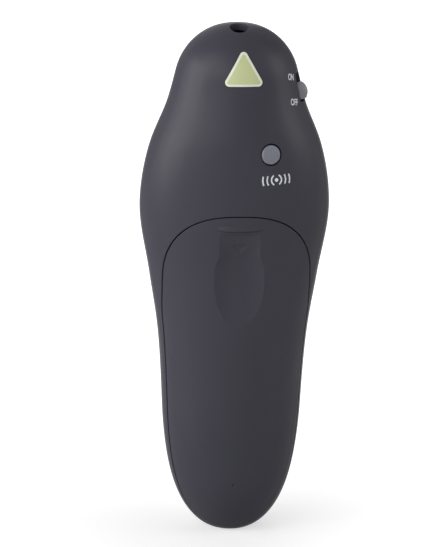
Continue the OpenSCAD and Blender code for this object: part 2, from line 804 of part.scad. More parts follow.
module chip_capacitors() {
    color([0.66, 0.55, 0.40]) {
        for (i = [0:3]) chip(right_row_at + [0, i * right_row_pitch], capacitor_size);
        for (i = [0:2]) chip(lower_row_at + [i * lower_row_pitch, 0], capacitor_size);
        chip(lone_capacitor_at, capacitor_size);
    }
}

// Bent strip that stands on the upper edge of the board
module antenna() {
    color([0.82, 0.62, 0.30]) {
        block([antenna_x[0], board_back - antenna_h, antenna_z[0]],
              [antenna_x[1], board_back - antenna_h + antenna_t, antenna_z[1]]);
        for (x = [antenna_x[0], antenna_x[1] - antenna_t])
            block([x, board_back - antenna_h + eps, antenna_z[0]], [x + antenna_t, board_back, antenna_z[1]]);
    }
}

module status_led() {
    color([0.9, 0.9, 0.85])
    block([-led_hw, board_front, led_z - led_hl], [led_hw, board_front + led_h, led_z + led_hl]);
}

module led_lens() {
    color([0.75, 0.9, 0.75]) pin_y(0, led_z, led_d, board_front + led_h, half_depth(led_z, front_depths));
}

// ---- Pairing button ----
module connect_button() {
    color([0.46, 0.47, 0.52])
    at_connect() {
        cylinder(h = connect_cap_t, d = connect_d, $fn = round_fn);
        translate([0, 0, connect_cap_t - eps])
            cylinder(h = connect_stem_l - connect_cap_t + eps, d = connect_stem_d, $fn = round_fn);
    }
}

module connect_switch() {
    half = switch_side / 2;
    color([0.72, 0.73, 0.75])
    difference() {
        block([connect_switch_x - half, connect_switch_y, connect_switch_z - half],
              [connect_switch_x + half, board_back, connect_switch_z + half]);
        pin_y(connect_switch_x, connect_switch_z, plunger_d + 4 * plunger_gap,
              connect_switch_y - reach, connect_plunger_y[1] + 2 * plunger_gap + connect_travel);
    }
}

module connect_plunger() {
    color([0.08, 0.08, 0.08])
    pin_y(connect_switch_x, connect_switch_z, plunger_d, connect_plunger_y[0], connect_plunger_y[1]);
}

// ---- Power switch ----
module power_knob() {
    hl = knob_l / 2;
    hw = slot_w / 2 - knob_side_gap;
    mid = -slot_l / 2 + knob_end_gap + hl;
    end_r = (hl * hl / knob_end_fall + knob_end_fall) / 2;
    side_r = (hw * hw / knob_side_fall + knob_side_fall) / 2;
    color([0.52, 0.52, 0.54])
    at_power() translate([0, 0, mid]) {
        intersection() {
            block([-knob_root, -hw, -hl], [knob_proud, hw, hl]);
            translate([knob_proud - end_r, 0, 0]) rotate([90, 0, 0])
                cylinder(h = slot_w, r = end_r, center = true, $fn = round_fn);
            translate([knob_proud - side_r, 0, 0])
                cylinder(h = slot_l, r = side_r, center = true, $fn = round_fn);
        }
        block([-peg_root, -peg_hw, -peg_hl], [-knob_root + eps, peg_hw, peg_hl]);
    }
}

module power_switch_body() {
    half = knob_travel + power_recess_end;
    color([0.74, 0.75, 0.77])
    at_power()
    difference() {
        block([power_body_out - power_body_d, -power_body_w / 2, -power_body_l / 2],
              [power_body_out - plunger_gap, power_body_w / 2, power_body_l / 2]);
        block([power_body_out - power_recess, -power_recess_hw, -half],
              [power_body_out + reach, power_recess_hw, half]);
    }
}

// Leads from the switch to the upper edge of the board
module switch_leads() {
    start = [power_x - power_body_d + power_body_out - switch_lead_clear, power_y + 2.6, power_z - 1.5];
    color([0.75, 0.12, 0.1])
    for (i = [-1, 0, 1])
        wire(start + [0, 0, i * switch_lead_pitch],
             switch_lead_end + [i * switch_lead_fan, 0, 0], lead_d);
}

// ---- Laser ----
module laser_barrel() {
    length = barrel_z1 - barrel_z0;
    color([0.78, 0.66, 0.36])
    translate([0, laser_y, barrel_z0])
    difference() {
        cylinder(h = length, d = barrel_d, $fn = round_fn);
        translate([0, 0, -reach]) cylinder(h = length + 2 * reach, d = barrel_bore, $fn = round_fn);
    }
}

module laser_lens() {
    color([0.75, 0.85, 0.95])
    translate([0, laser_y, barrel_z1 - lens_drop])
    rotate_extrude($fn = round_fn)
        polygon([[0, 0], [barrel_bore / 2, 0], [barrel_bore / 2, lens_t[0]],
                 [barrel_bore / 2 * lens_dome, lens_t[1]], [0, lens_t[2]]]);
}

module laser_diode() {
    color([0.85, 0.83, 0.80])
    translate([0, laser_y, diode_z])
    union() {
        cylinder(h = diode_base_t, d = barrel_bore, $fn = round_fn);
        cylinder(h = diode_l, d = diode_d, $fn = round_fn);
    }
}

module laser_board() {
    color([0.05, 0.33, 0.18])
    translate([0, laser_y, barrel_z0 - laser_board_t])
        cylinder(h = laser_board_t, d = barrel_d - shank_gap, $fn = round_fn);
}

module laser_leads() {
    color([0.1, 0.1, 0.1])
    for (s = [-1, 1])
        wire([s * laser_lead_x, laser_y + 1, barrel_z0 - laser_board_t - lead_lift],
             [s * laser_lead_x, board_back - lead_lift, laser_lead_z], lead_d);
}

module nose_window() {
    color([0.5, 0.1, 0.1])
    translate([0, laser_y, window_z]) cylinder(h = window_t, d = window_d, $fn = round_fn);
}

// ---- Cells and contacts ----
module cell(x, low, up) {
    translate([x, cell_y, up ? low : low + cell_l]) mirror([0, 0, up ? 0 : 1]) {
        cylinder(h = cell_body_l, d = cell_d, $fn = round_fn);
        translate([0, 0, cell_body_l - 0.1]) cylinder(h = 1.1, d = button_d, $fn = round_fn);
    }
}

module cell_left() { color([0.75, 0.55, 0.25]) cell(-cell_x, contact_z + spring_h, true); }
module cell_right() { color([0.75, 0.55, 0.25]) cell(cell_x, contact_z + bump_h, false); }

module contact_bump(x, z, up) {
    translate([x, cell_y, z]) mirror([0, 0, up ? 0 : 1])
        cylinder(h = bump_h, d1 = bump_d[0], d2 = bump_d[1], $fn = round_fn);
}

module contact_plate(x0, x1, z) {
    block([x0 - plate_hw, plate_y[0], z], [x1 + plate_hw, plate_y[1], z + plate_t]);
}

module lower_contacts() {
    color([0.80, 0.80, 0.80]) {
        for (s = [-1, 1]) contact_plate(s * cell_x, s * cell_x, contact_z - plate_t);
        contact_bump(cell_x, contact_z, true);
    }
}

module upper_contacts() {
    color([0.80, 0.80, 0.80]) {
        contact_plate(-cell_x, cell_x, contact_top);
        contact_bump(-cell_x, contact_top, false);
    }
}

// Conical coil of round wire, drawn as touching turns that shrink upward
module coil(x, z, up) {
    wire_d = spring_h / spring_turns + 3 * eps;
    pitch = (spring_h - wire_d) / (spring_turns - 1);
    color([0.78, 0.79, 0.80])
    translate([x, cell_y, z]) mirror([0, 0, up ? 0 : 1])
    for (i = [0:spring_turns - 1])
        translate([0, 0, wire_d / 2 + i * pitch])
            rotate_extrude($fn = round_fn) translate([spring_r - spring_taper * i, 0])
                circle(d = wire_d, $fn = wire_fn);
}

module left_spring() { coil(-cell_x, contact_z, true); }
module right_spring() { coil(cell_x, contact_top, false); }

// Flat leads from the lower contacts, round the tray to the board
module battery_leads() {
    back = tray_floor_y + tray_floor_t;
    color([0.1, 0.1, 0.1])
    for (s = [-1, 1])
        block([s * cell_x - 1, back, tray_low - lead_lift], [s * cell_x + 1, back + lead_d / 2, board_z0 + 1]);
}

// ---- Fasteners ----
module screw(x, z, y0, length) {
    pin_y(x, z, head_d, y0, y0 + head_t);
    pin_y(x, z, screw_d, y0 + head_t - eps, y0 + head_t + length);
}

module case_screws() {
    color([0.6, 0.6, 0.62]) {
        for (s = [-1, 1]) screw(s * screw_x, screw_z, head_y, side_screw_l);
        screw(0, tail_screw_z, head_y, tail_screw_l);
    }
}

module board_screws() {
    color([0.6, 0.6, 0.62])
    for (s = [-1, 1]) {
        pin_y(s * board_screw_x, board_screw_z, head_d - shank_gap, board_back - board_head_t, board_back);
        pin_y(s * board_screw_x, board_screw_z, screw_d, board_back - eps, board_front + board_screw_l);
    }
}

// ---- Sticker ----
module blank_sticker() {
    corner_at = sticker_r - sticker_corner_r;
    color([0.77, 0.80, 0.55])
    intersection() {
        back_half() skin_slab(back_depths, sticker_z - sticker_r - 1, sticker_z + sticker_r + 0.5, 50,
                              sticker_lift[1], sticker_lift[0], 8, 12);
        translate([sticker_x, 0, sticker_z]) rotate([90, 0, 0]) linear_extrude(2 * back_d)
            polygon([for (k = [0:2], a = [-60:20:60]) let (t = 90 + 120 * k)
                corner_at * [cos(t), sin(t)] + sticker_corner_r * [cos(t + a), sin(t + a)]]);
    }
}

front_shell();
rear_shell();
battery_tray();
keypad_bezel();
battery_door();
door_pad();
laser_key();
next_key();
back_key();
start_key();
blank_key();
laser_plunger();
next_plunger();
back_plunger();
start_plunger();
blank_plunger();
key_switches();
main_board();
controller_chip();
radio_chip();
crystal_can();
chip_capacitors();
antenna();
status_led();
led_lens();
connect_button();
connect_plunger();
connect_switch();
power_knob();
power_switch_body();
switch_leads();
laser_barrel();
laser_lens();
laser_diode();
laser_board();
laser_leads();
nose_window();
cell_left();
cell_right();
lower_contacts();
upper_contacts();
left_spring();
right_spring();
battery_leads();
case_screws();
board_screws();
blank_sticker();
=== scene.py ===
"""Wireless presentation clicker: its looks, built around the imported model. Metres, CAD frame."""

import math

import bpy
import numpy as np
from mathutils import Matrix, Vector
from mathutils.geometry import delaunay_2d_cdt


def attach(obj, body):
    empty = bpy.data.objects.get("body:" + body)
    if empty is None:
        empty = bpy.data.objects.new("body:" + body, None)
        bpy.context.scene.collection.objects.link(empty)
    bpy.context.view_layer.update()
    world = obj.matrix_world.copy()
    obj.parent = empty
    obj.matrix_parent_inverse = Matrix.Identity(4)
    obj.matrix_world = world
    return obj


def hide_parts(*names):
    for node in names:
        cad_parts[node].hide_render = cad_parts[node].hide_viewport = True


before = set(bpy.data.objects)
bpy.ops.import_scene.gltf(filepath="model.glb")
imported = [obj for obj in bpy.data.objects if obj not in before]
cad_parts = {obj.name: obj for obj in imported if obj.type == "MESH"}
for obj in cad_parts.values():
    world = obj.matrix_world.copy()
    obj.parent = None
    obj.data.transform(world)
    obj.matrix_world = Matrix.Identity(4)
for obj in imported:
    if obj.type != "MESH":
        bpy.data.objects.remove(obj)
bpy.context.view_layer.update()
bpy.ops.object.select_all(action="DESELECT")

# ---- Studio ----
# The remote stands on a white sheet in a white room. Softboxes stand all round it, most of them
# on its left, and the camera looks down a little on the door side.
FRAME_W, FRAME_H = 443, 547
AXIS_X, AXIS_Y = 233.02, 280.15
FOCAL_PX = 3063.2
AZIMUTH, ELEVATION, ROLL = math.radians(-6), math.radians(14), math.radians(1.044)
AIM = Vector((0, 0, 0.058))
DISTANCE = 0.7
SENSOR = 36
NEAR, FAR = 0.01, 20

away = Vector((math.sin(AZIMUTH) * math.cos(ELEVATION),
               -math.cos(AZIMUTH) * math.cos(ELEVATION), math.sin(ELEVATION)))
level = Vector((math.cos(AZIMUTH), math.sin(AZIMUTH), 0))
upright = away.cross(level)
right = level * math.cos(ROLL) + upright * math.sin(ROLL)
up = upright * math.cos(ROLL) - level * math.sin(ROLL)
looking = (-away + right * ((FRAME_W / 2 - AXIS_X) / FOCAL_PX)
           + up * ((AXIS_Y - FRAME_H / 2) / FOCAL_PX)).normalized()
up = (up - looking * up.dot(looking)).normalized()
right = looking.cross(up)
lens = bpy.data.cameras.new("studio_camera")
lens.sensor_width = SENSOR
lens.lens = FOCAL_PX / FRAME_H * SENSOR
lens.clip_start, lens.clip_end = NEAR, FAR
camera = bpy.data.objects.new("studio_camera", lens)
bpy.context.scene.collection.objects.link(camera)
camera.matrix_world = Matrix.Translation(AIM + away * DISTANCE) @ Matrix(
    (right, up, -looking)).transposed().to_4x4()
bpy.context.scene.camera = camera
bpy.context.scene.view_settings.view_transform = "Standard"


def reckoned(tree, kind, first, second):
    """A maths node of two numbers or sockets."""
    node = tree.nodes.new("ShaderNodeMath")
    node.operation = kind
    for end, value in zip(node.inputs, (first, second)):
        if isinstance(value, float):
            end.default_value = value
        else:
            tree.links.new(value, end)
    return node.outputs[0]


def only_seen(tree, strength):
    """A strength, a number or a socket, that counts for camera, mirror and glass rays and is 0 for
    the light itself."""
    rays = tree.nodes.new("ShaderNodeLightPath").outputs
    seen = reckoned(tree, "MAXIMUM", rays["Is Camera Ray"], rays["Is Glossy Ray"])
    seen = reckoned(tree, "MAXIMUM", seen, rays["Is Transmission Ray"])
    return reckoned(tree, "MULTIPLY", seen, strength)


WORLD_LIGHT, WORLD_SEEN = 0.14, 1.0
world = bpy.data.worlds.new("studio_air")
bpy.context.scene.world = world
world.use_nodes = True
air = world.node_tree
shade = air.nodes["Background"]
shade.inputs["Color"].default_value = (1, 1, 1, 1)
lit = reckoned(air, "ADD", only_seen(air, WORLD_SEEN - WORLD_LIGHT), WORLD_LIGHT)
air.links.new(lit, shade.inputs["Strength"])

# The sheet's glow is dimmer round the foot, a painted shade that deepens the lamps' real shadow there, and
# runs out to plain white
SHEET_SIDE = 6.0
SHEET_COLOUR = (0.50, 0.50, 0.503, 1)
SHEET_GLOW = (0.53, 0.97)
GLOW_FROM, GLOW_TO = 0.01, 0.12
PAINTED_SHADE_MIDDLE = (-0.01, -0.015, 0)
bpy.ops.mesh.primitive_plane_add(size=SHEET_SIDE)
sheet = bpy.context.object
sheet.name = "white_sheet"
paper = bpy.data.materials.new("white_sheet")
paper.use_nodes = True
tree = paper.node_tree
tree.nodes.clear()
matt = tree.nodes.new("ShaderNodeBsdfDiffuse")
matt.inputs["Color"].default_value = SHEET_COLOUR
glow = tree.nodes.new("ShaderNodeEmission")
place = tree.nodes.new("ShaderNodeTexCoord")
away_from = tree.nodes.new("ShaderNodeVectorMath")
away_from.operation = "DISTANCE"
away_from.inputs[1].default_value = PAINTED_SHADE_MIDDLE
tree.links.new(place.outputs["Object"], away_from.inputs[0])
# The glow rises with distance from a point by the foot: painted shade round that point
glow_at = tree.nodes.new("ShaderNodeMapRange")
for key, value in zip(("From Min", "From Max", "To Min", "To Max"), (GLOW_FROM, GLOW_TO, *SHEET_GLOW)):
    glow_at.inputs[key].default_value = value
tree.links.new(away_from.outputs["Value"], glow_at.inputs["Value"])
tree.links.new(only_seen(tree, glow_at.outputs["Result"]), glow.inputs["Strength"])
both = tree.nodes.new("ShaderNodeAddShader")
tree.links.new(matt.outputs[0], both.inputs[0])
tree.links.new(glow.outputs[0], both.inputs[1])
surface = tree.nodes.new("ShaderNodeOutputMaterial")
tree.links.new(both.outputs[0], surface.inputs["Surface"])
sheet.data.materials.append(paper)

# Each softbox: name, degrees round from the door side, degrees up, power, side in m
LAMP_AWAY = 0.9
LAMPS = [
    ("key_left", -15, 20, 0.8, 0.3),
    ("side_left", -44, 26, 3.5, 0.6),
    ("edge_left", -70, 15, 3.9, 0.5),
    ("rim_left", -95, 15, 2.5, 0.5),
    ("rim_back_left", -145, 20, 0.4, 0.5),
    ("fill_right", 54, 30, 0.7, 0.7),
    ("edge_right", 75, 20, 2.2, 0.5),
    ("rim_right", 100, 15, 0.5, 0.5),
    ("back_left", -150, 55, 0.4, 0.5),
    ("back_right", 150, 55, 0.3, 0.5),
    ("back_fill", 180, 25, 1.3, 0.5),
]
for name, azimuth, rise, power, side in LAMPS:
    lamp = bpy.data.lights.new(name, "AREA")
    lamp.size, lamp.energy = side, power
    holder = bpy.data.objects.new(name, lamp)
    bpy.context.scene.collection.objects.link(holder)
    a, e = math.radians(azimuth), math.radians(rise)
    toward = Vector((math.cos(e) * math.sin(a), -math.cos(e) * math.cos(a), math.sin(e)))
    holder.location = AIM + LAMP_AWAY * toward
    holder.rotation_euler = (-toward).to_track_quat("-Z", "Y").to_euler()

# ---- Rear shell ----
# The moulded back half of the case, in matt charcoal ABS with a soft-touch coat. It has the
# laser aperture in its nose, the pairing button's hole, the switch slot and the door's opening.
MM = 0.001
LENGTH, FOOT_CUT = 117.5, 0.9
WIDTH_Z = [0, 22, 34, 48, 60, 77, 90, 100, 108, 118]
HALF_WIDTHS = [16.0, 15.8, 16.2, 17.3, 19.2, 21.6, 19.5, 15.6, 13.5, 10.9]
DEPTH_Z = [0, 20, 32, 70, 90, 104, 118]
BACK_DEPTHS = [12.8, 13.4, 13.8, 13.8, 13.0, 11.0, 9.6]
FRONT_DEPTHS = [10.5, 11.4, 11.8, 12.2, 11.6, 10.2, 9.0]
TAIL_H, TAIL_P, TAIL_DEPTH_H, TAIL_DEPTH_P = 32, 2.35, 16, 2.3
NOSE_H, NOSE_P, NOSE_DEPTH_H, NOSE_DEPTH_P = 10.6, 2.34, 12, 2.2
BACK, FRONT = -1, 1
WALL, EDGE_ROUND = 1.6, 0.12


def between(z, stations, sizes):
    """A size at height z, on a cubic through its stations."""
    zs, vs = np.array(stations, float), np.array(sizes, float)
    h = np.diff(zs)
    chord = np.diff(vs) / h
    inner = (chord[1:] * h[:-1] + chord[:-1] * h[1:]) / (h[:-1] + h[1:])
    slope = np.concatenate([chord[:1], inner, chord[-1:]])
    i = np.clip(np.searchsorted(zs, z, side="right") - 1, 0, len(zs) - 2)
    t = (z - zs[i]) / h[i]
    return (vs[i] * (1 + 2 * t) * (1 - t) ** 2 + slope[i] * h[i] * t * (1 - t) ** 2
            + vs[i + 1] * t * t * (3 - 2 * t) - slope[i + 1] * h[i] * t * t * (1 - t))


def rounding(t, p):
    """From 1 at t = 0 down to 0 at t = 1, round for p = 2 and squarer above it."""
    return np.maximum(0, 1 - np.clip(t, 0, 1) ** p) ** (1 / p)


def half_width(z):
    """Half the case's width at height z."""
    tail = rounding((TAIL_H - z) / (TAIL_H + FOOT_CUT), TAIL_P)
    nose = rounding((z - (LENGTH - NOSE_H)) / NOSE_H, NOSE_P)
    return between(z, WIDTH_Z, HALF_WIDTHS) * tail * nose


def half_depth(z, side):
    """The case's depth at height z, on its door side or its key side."""
    depths = BACK_DEPTHS if side == BACK else FRONT_DEPTHS
    tail = rounding((TAIL_DEPTH_H - z) / (TAIL_DEPTH_H + FOOT_CUT), TAIL_DEPTH_P)
    nose = rounding((z - (LENGTH - NOSE_DEPTH_H)) / NOSE_DEPTH_H, NOSE_DEPTH_P)
    return between(z, DEPTH_Z, depths) * tail * nose


def height_of(t):
    """Height in mm of the angle up the case."""
    return (LENGTH + FOOT_CUT) * (1 - np.cos(np.radians(t))) / 2 - FOOT_CUT


def turn_at(z):
    """The angle up the case of a height in mm."""
    share = (np.asarray(z, float) + FOOT_CUT) / (LENGTH + FOOT_CUT)
    return np.degrees(np.arccos(np.clip(1 - 2 * share, -1, 1)))


T_FOOT = float(turn_at(0))
T_SHOULDER, T_NOSE, T_TIP = 120.0, 150.0, 179.99
HALVINGS = 50
SMALL_TURN = 0.05


def skin(a, t, side):
    """Points of the case's outside in mm, from the angle round it and the angle up it, in degrees.
    Under the foot's rim the angle up it runs over the flat of the foot instead."""
    a, t = np.asarray(a, float), np.asarray(t, float)
    z = height_of(np.maximum(t, T_FOOT))
    flat = np.minimum(t / T_FOOT, 1)
    return np.stack([flat * half_width(z) * np.cos(np.radians(a)),
                     flat * side * half_depth(z, side) * np.sin(np.radians(a)), z], -1)


def outward(a, t, side):
    """Directions that stand square on the skin and point out of the case."""
    n = np.cross(skin(a + SMALL_TURN, t, side) - skin(a - SMALL_TURN, t, side),
                 skin(a, t + SMALL_TURN, side) - skin(a, t - SMALL_TURN, side)) * side
    return n / np.maximum(np.linalg.norm(n, axis=-1, keepdims=True), 1e-12)


def by_xz(x, z):
    """Angles of the skin point that lies straight behind or in front of (x, z)."""
    x, z = np.broadcast_arrays(np.asarray(x, float), np.asarray(z, float))
    return np.stack([np.degrees(np.arccos(np.clip(x / half_width(z), -1, 1))), turn_at(z)], -1)


def by_yz(y, z, side):
    """Angles of the right-hand skin point at depth y and height z."""
    share = np.clip(np.abs(y) / half_depth(z, side), 0, 1)
    return np.stack([np.degrees(np.arcsin(share)), turn_at(z)], -1)


def by_xy(x, y, side):
    """Angles of the skin point of the nose that lies straight above (x, y)."""
    low, high = np.full(len(x), T_SHOULDER), np.full(len(x), T_TIP)
    for _ in range(HALVINGS):
        t = (low + high) / 2
        z = height_of(t)
        over = (x / half_width(z)) ** 2 + (y / half_depth(z, side)) ** 2 > 1
        high, low = np.where(over, t, high), np.where(over, low, t)
    z = height_of(low)
    turn = np.arctan2(np.abs(y) / half_depth(z, side), x / half_width(z))
    return np.stack([np.degrees(turn), low], -1)


def squarish(value, p):
    """Cosines or sines drawn out toward 1, which squares an oval's corners where p is above 2."""
    return np.sign(value) * np.abs(value) ** (2 / p)


# Millimetres per degree round the skin and up it, so that both directions weigh alike
SPREAD = np.array([0.33, 1.0])
LIP_STEPS = 4
# A second line this far inside each edge keeps its shading flat up to the rounding
HOLD = 0.07
SAME = 1e-6
SKIN_ANGLE = math.radians(38)
# Loose points keep off the lines by this share of their spacing
CLEAR = 0.5
CHUNK = 400


def crossings(points, loops):
    """True for each point that an odd number of the loops goes round."""
    odd = np.zeros(len(points), bool)
    for loop in loops:
        for (x0, y0), (x1, y1) in zip(loop, np.roll(loop, -1, 0)):
            if y0 == y1:
                continue
            hit = (points[:, 1] < y0) != (points[:, 1] < y1)
            odd ^= hit & (points[:, 0] < (x1 - x0) * (points[:, 1] - y0) / (y1 - y0) + x0)
    return odd


def pick(thing):
    """Makes one object the only one selected, and the active one."""
    bpy.ops.object.select_all(action="DESELECT")
    thing.select_set(True)
    bpy.context.view_layer.objects.active = thing


def new_object(name, points, faces):
    """A mesh object from points in mm, smooth but for its sharp edges."""
    mesh = bpy.data.meshes.new(name)
    mesh.from_pydata((np.asarray(points) * MM).tolist(), [], faces)
    thing = bpy.data.objects.new(name, mesh)
    bpy.context.scene.collection.objects.link(thing)
    pick(thing)
    bpy.ops.object.mode_set(mode="EDIT")
    bpy.ops.mesh.select_all(action="SELECT")
    bpy.ops.mesh.remove_doubles(threshold=SAME)
    bpy.ops.mesh.normals_make_consistent(inside=False)
    bpy.ops.object.mode_set(mode="OBJECT")
    bpy.ops.object.shade_smooth_by_angle(angle=SKIN_ANGLE)
    return thing


def panel(name, side, edges, lip, wall, lift=0.0, relief=None, creases=(), pitch=1.0, patches=()):
    """A piece of the case's skin with rounded edges and a wall. Each edge is a function that gives its
    closed line, in angles, when the edge is drawn into the piece by so many mm. Relief is the depth in
    mm pressed into the skin at x and z, and creases are the lines along which it breaks."""
    # Lines that the mesh has to follow
    lines, fixed, ties = [], [], []
    for edge in edges:
        lines += [edge(lip), edge(lip + HOLD)]
    for line in lines:
        start = sum(len(f) for f in fixed)
        fixed.append(line)
        ties += [(start + i, start + (i + 1) % len(line)) for i in range(len(line))]
    for line in creases:
        start = sum(len(f) for f in fixed)
        fixed.append(line)
        ties += [(start + i, start + i + 1) for i in range(len(line) - 1)]
    fixed = np.concatenate(fixed)
    # Loose points between them, closer together in the patches
    outer = edges[0](lip)
    low, high = outer.min(0), outer.max(0)
    free = []
    grid = np.stack(np.meshgrid(np.arange(low[0], high[0], pitch / SPREAD[0]),
                                np.arange(low[1], high[1], pitch / SPREAD[1])), -1).reshape(-1, 2)
    place = skin(grid[:, 0], grid[:, 1], side)
    for x0, x1, z0, z1, fine in patches:
        inside = (place[:, 0] > x0) & (place[:, 0] < x1) & (place[:, 2] > z0) & (place[:, 2] < z1)
        grid, place = grid[~inside], place[~inside]
        xs, zs = np.meshgrid(np.arange(x0, x1, fine), np.arange(z0, z1, fine))
        free.append((by_xz(xs.ravel(), zs.ravel()), fine))
    free.append((grid, pitch))
    kept = []
    for points, gap in free:
        near = np.full(len(points), np.inf)
        for chunk in np.array_split(fixed, max(1, len(fixed) // CHUNK)):
            d = (points[:, None] - chunk[None]) * SPREAD
            near = np.minimum(near, np.sqrt((d ** 2).sum(-1)).min(1))
        kept.append(points[near > CLEAR * gap])
    every = np.concatenate([fixed] + kept) * SPREAD
    made = delaunay_2d_cdt([Vector(p) for p in every], ties, [], 0, SAME)
    flat = np.array([tuple(p) for p in made[0]])
    tris = np.array([f for f in made[2] if len(f) == 3])
    middle = flat[tris].mean(1)
    tris = tris[crossings(middle, [edge(lip) * SPREAD for edge in edges])]
    where = {source: i for i, sources in enumerate(made[3]) for source in sources}
    # The outside and the underside
    a, t = flat[:, 0] / SPREAD[0], flat[:, 1] / SPREAD[1]
    base, normal = skin(a, t, side), outward(a, t, side)
    drop = relief(base[:, 0], base[:, 2]) if relief else np.zeros(len(a))
    top = base + normal * (lift - drop)[:, None]
    under = base + normal * (lift - wall - drop)[:, None]
    points, faces = [top, under], [tuple(f) for f in tris] + [tuple(f[::-1] + len(top)) for f in tris]
    # The rounding of each edge and the wall below it
    count, start = 2 * len(top), 0
    for number, edge in enumerate(edges):
        size = len(lines[2 * number])
        rows = [[where[start + i] for i in range(size)]]
        start += 2 * size
        for k in range(1, LIP_STEPS + 2):
            turn = math.pi / 2 * min(1, k / LIP_STEPS)
            line = edge(lip * (1 - math.sin(turn)))
            depth = lip * (1 - math.cos(turn)) if k <= LIP_STEPS else wall
            points.append(skin(line[:, 0], line[:, 1], side)
                          + outward(line[:, 0], line[:, 1], side) * (lift - depth))
            rows.append(list(range(count, count + size)))
            count += size
        rows.append([i + len(top) for i in rows[0]])
        for one, two in zip(rows, rows[1:]):
            faces += [(one[i], one[(i + 1) % size], two[(i + 1) % size], two[i]) for i in range(size)]
    # Points that no face uses are left out
    points = np.concatenate(points)
    used = np.unique([i for f in faces for i in f])
    order = np.full(len(points), -1)
    order[used] = np.arange(len(used))
    return new_object(name, points[used], [tuple(int(order[i]) for i in f) for f in faces])


DOOR_HW, DOOR_SHOULDER, DOOR_RISE, SEAM_Y, SEAM_GAP, SIDE_GAP = 16.8, 60.0, 15.8, 4.3, 0.22, 0.5
SEAM_ROUND, ROUND_FOOT, ROUND_HEAD = 0.75, (5.0, 25.0), 12.0
ARCH_P = 2.5
PARTING_GAP = 0.05
SIDE_STEPS, ARCH_STEPS, FOOT_STEPS, PARTING_STEPS, RIM_STEPS = 110, 180, 24, 170, 20


def foot_line(y, x, side):
    """Angles of the points on the flat foot at depth y."""
    p, q = np.asarray(x, float) / half_width(0), y / half_depth(0, side)
    return np.stack([np.degrees(np.arctan2(q, p)), T_FOOT * np.sqrt(p ** 2 + q ** 2)], -1)


def foot_reach(y, side):
    """Half the flat foot's width at depth y."""
    return float(half_width(0) * np.sqrt(1 - (y / half_depth(0, side)) ** 2))


def mirrored(line):
    """A line of angles on the right, turned over to the left and run the other way."""
    return np.stack([180 - line[::-1, 0], line[::-1, 1]], -1)


def door_line(way, inset):
    """The door's outline, in the shell (1) or on the door (-1): up its right side, where the seam's
    depth runs over into the door's width, over its arch, down and under the foot."""
    grow, seam = way * (SEAM_GAP / 2 + inset), SEAM_Y - way * (SIDE_GAP / 2 + inset)
    t = np.linspace(T_FOOT, float(turn_at(DOOR_SHOULDER)), SIDE_STEPS + 1)[:-1]
    z = height_of(t)
    wide = half_width(z) * np.sqrt(1 - (seam / half_depth(z, BACK)) ** 2)
    ease = SEAM_ROUND * (np.clip((z - ROUND_FOOT[0]) / ROUND_FOOT[1], 0, 1)
                         * np.clip((DOOR_SHOULDER - z) / ROUND_HEAD, 0, 1))
    x = (wide + DOOR_HW + grow - np.sqrt((wide - DOOR_HW - grow) ** 2 + ease ** 2)) / 2
    right_side = np.stack([np.degrees(np.arccos(x / half_width(z))), t], -1)
    phi = np.radians(np.linspace(0, 180, ARCH_STEPS + 1))
    arch = by_xz((DOOR_HW + grow) * squarish(np.cos(phi), ARCH_P),
                 DOOR_SHOULDER + (DOOR_RISE + grow) * squarish(np.sin(phi), ARCH_P))
    reach = foot_reach(seam, BACK)
    foot = foot_line(seam, np.linspace(-reach, reach, FOOT_STEPS + 1)[1:-1], BACK)
    return np.concatenate([right_side, arch, mirrored(right_side), foot])


def parting(side, inset):
    """The outline of a half along the plane where the two meet, over the nose and under the foot."""
    y = PARTING_GAP + inset
    low, high = T_NOSE, 180.0
    for _ in range(HALVINGS):
        t = (low + high) / 2
        low, high = (t, high) if half_depth(height_of(t), side) > y else (low, t)
    foot = foot_line(y, np.linspace(0, foot_reach(y, side), FOOT_STEPS // 2 + 1)[:-1], side)
    t = np.linspace(T_FOOT, low, PARTING_STEPS + 1)
    edge = np.stack([np.degrees(np.arcsin(np.clip(y / half_depth(height_of(t), side), 0, 1))), t], -1)
    right_side = np.concatenate([foot, edge])
    return np.concatenate([right_side[:-1], mirrored(right_side)[:-1]])


def foot_rims(side, y0, y1):
    """The rim of the flat foot between two depths, on the right and on the left."""
    ends = [math.degrees(math.asin(min(1, y / float(half_depth(0, side))))) for y in (y0, y1)]
    rim = np.stack([np.linspace(*ends, RIM_STEPS), np.full(RIM_STEPS, T_FOOT)], -1)
    return [rim, mirrored(rim)]


CONNECT_AT, CONNECT_D, CONNECT_GAP = (6.8, 89.7), 4.4, 0.3
CONNECT_TURN, CONNECT_TILT = math.radians(15), math.radians(-8)
connect_y = float(skin(*by_xz(*CONNECT_AT), BACK)[1])
connect_frame = Matrix.Translation((CONNECT_AT[0], connect_y, CONNECT_AT[1])) @ (
    Matrix.Rotation(CONNECT_TILT, 4, "X") @ Matrix.Rotation(CONNECT_TURN, 4, "Z")
    @ Matrix.Rotation(-math.pi / 2, 4, "X"))


def connect_hole(inset):
    """The round hole of the pairing button, square to the slope that it lies in."""
    phi = np.radians(np.arange(0, 360, 6))
    r = CONNECT_D / 2 + CONNECT_GAP + inset
    ring = [connect_frame @ Vector((r * math.cos(p), r * math.sin(p), 0)) for p in phi]
    return by_xz([p.x for p in ring], [p.z for p in ring])


POWER_Y, POWER_Z, POWER_TURN, POWER_TILT = -2.9, 103.4, math.radians(-20), math.radians(-17)
SLOT_L, SLOT_W, SLOT_R = 6.7, 3.6, 0.7
power_x = float(half_width(POWER_Z) * np.sqrt(1 - (POWER_Y / half_depth(POWER_Z, BACK)) ** 2))
power_frame = Matrix.Translation((power_x, POWER_Y, POWER_Z)) @ (
    Matrix.Rotation(POWER_TURN, 4, "Z") @ Matrix.Rotation(POWER_TILT, 4, "Y"))


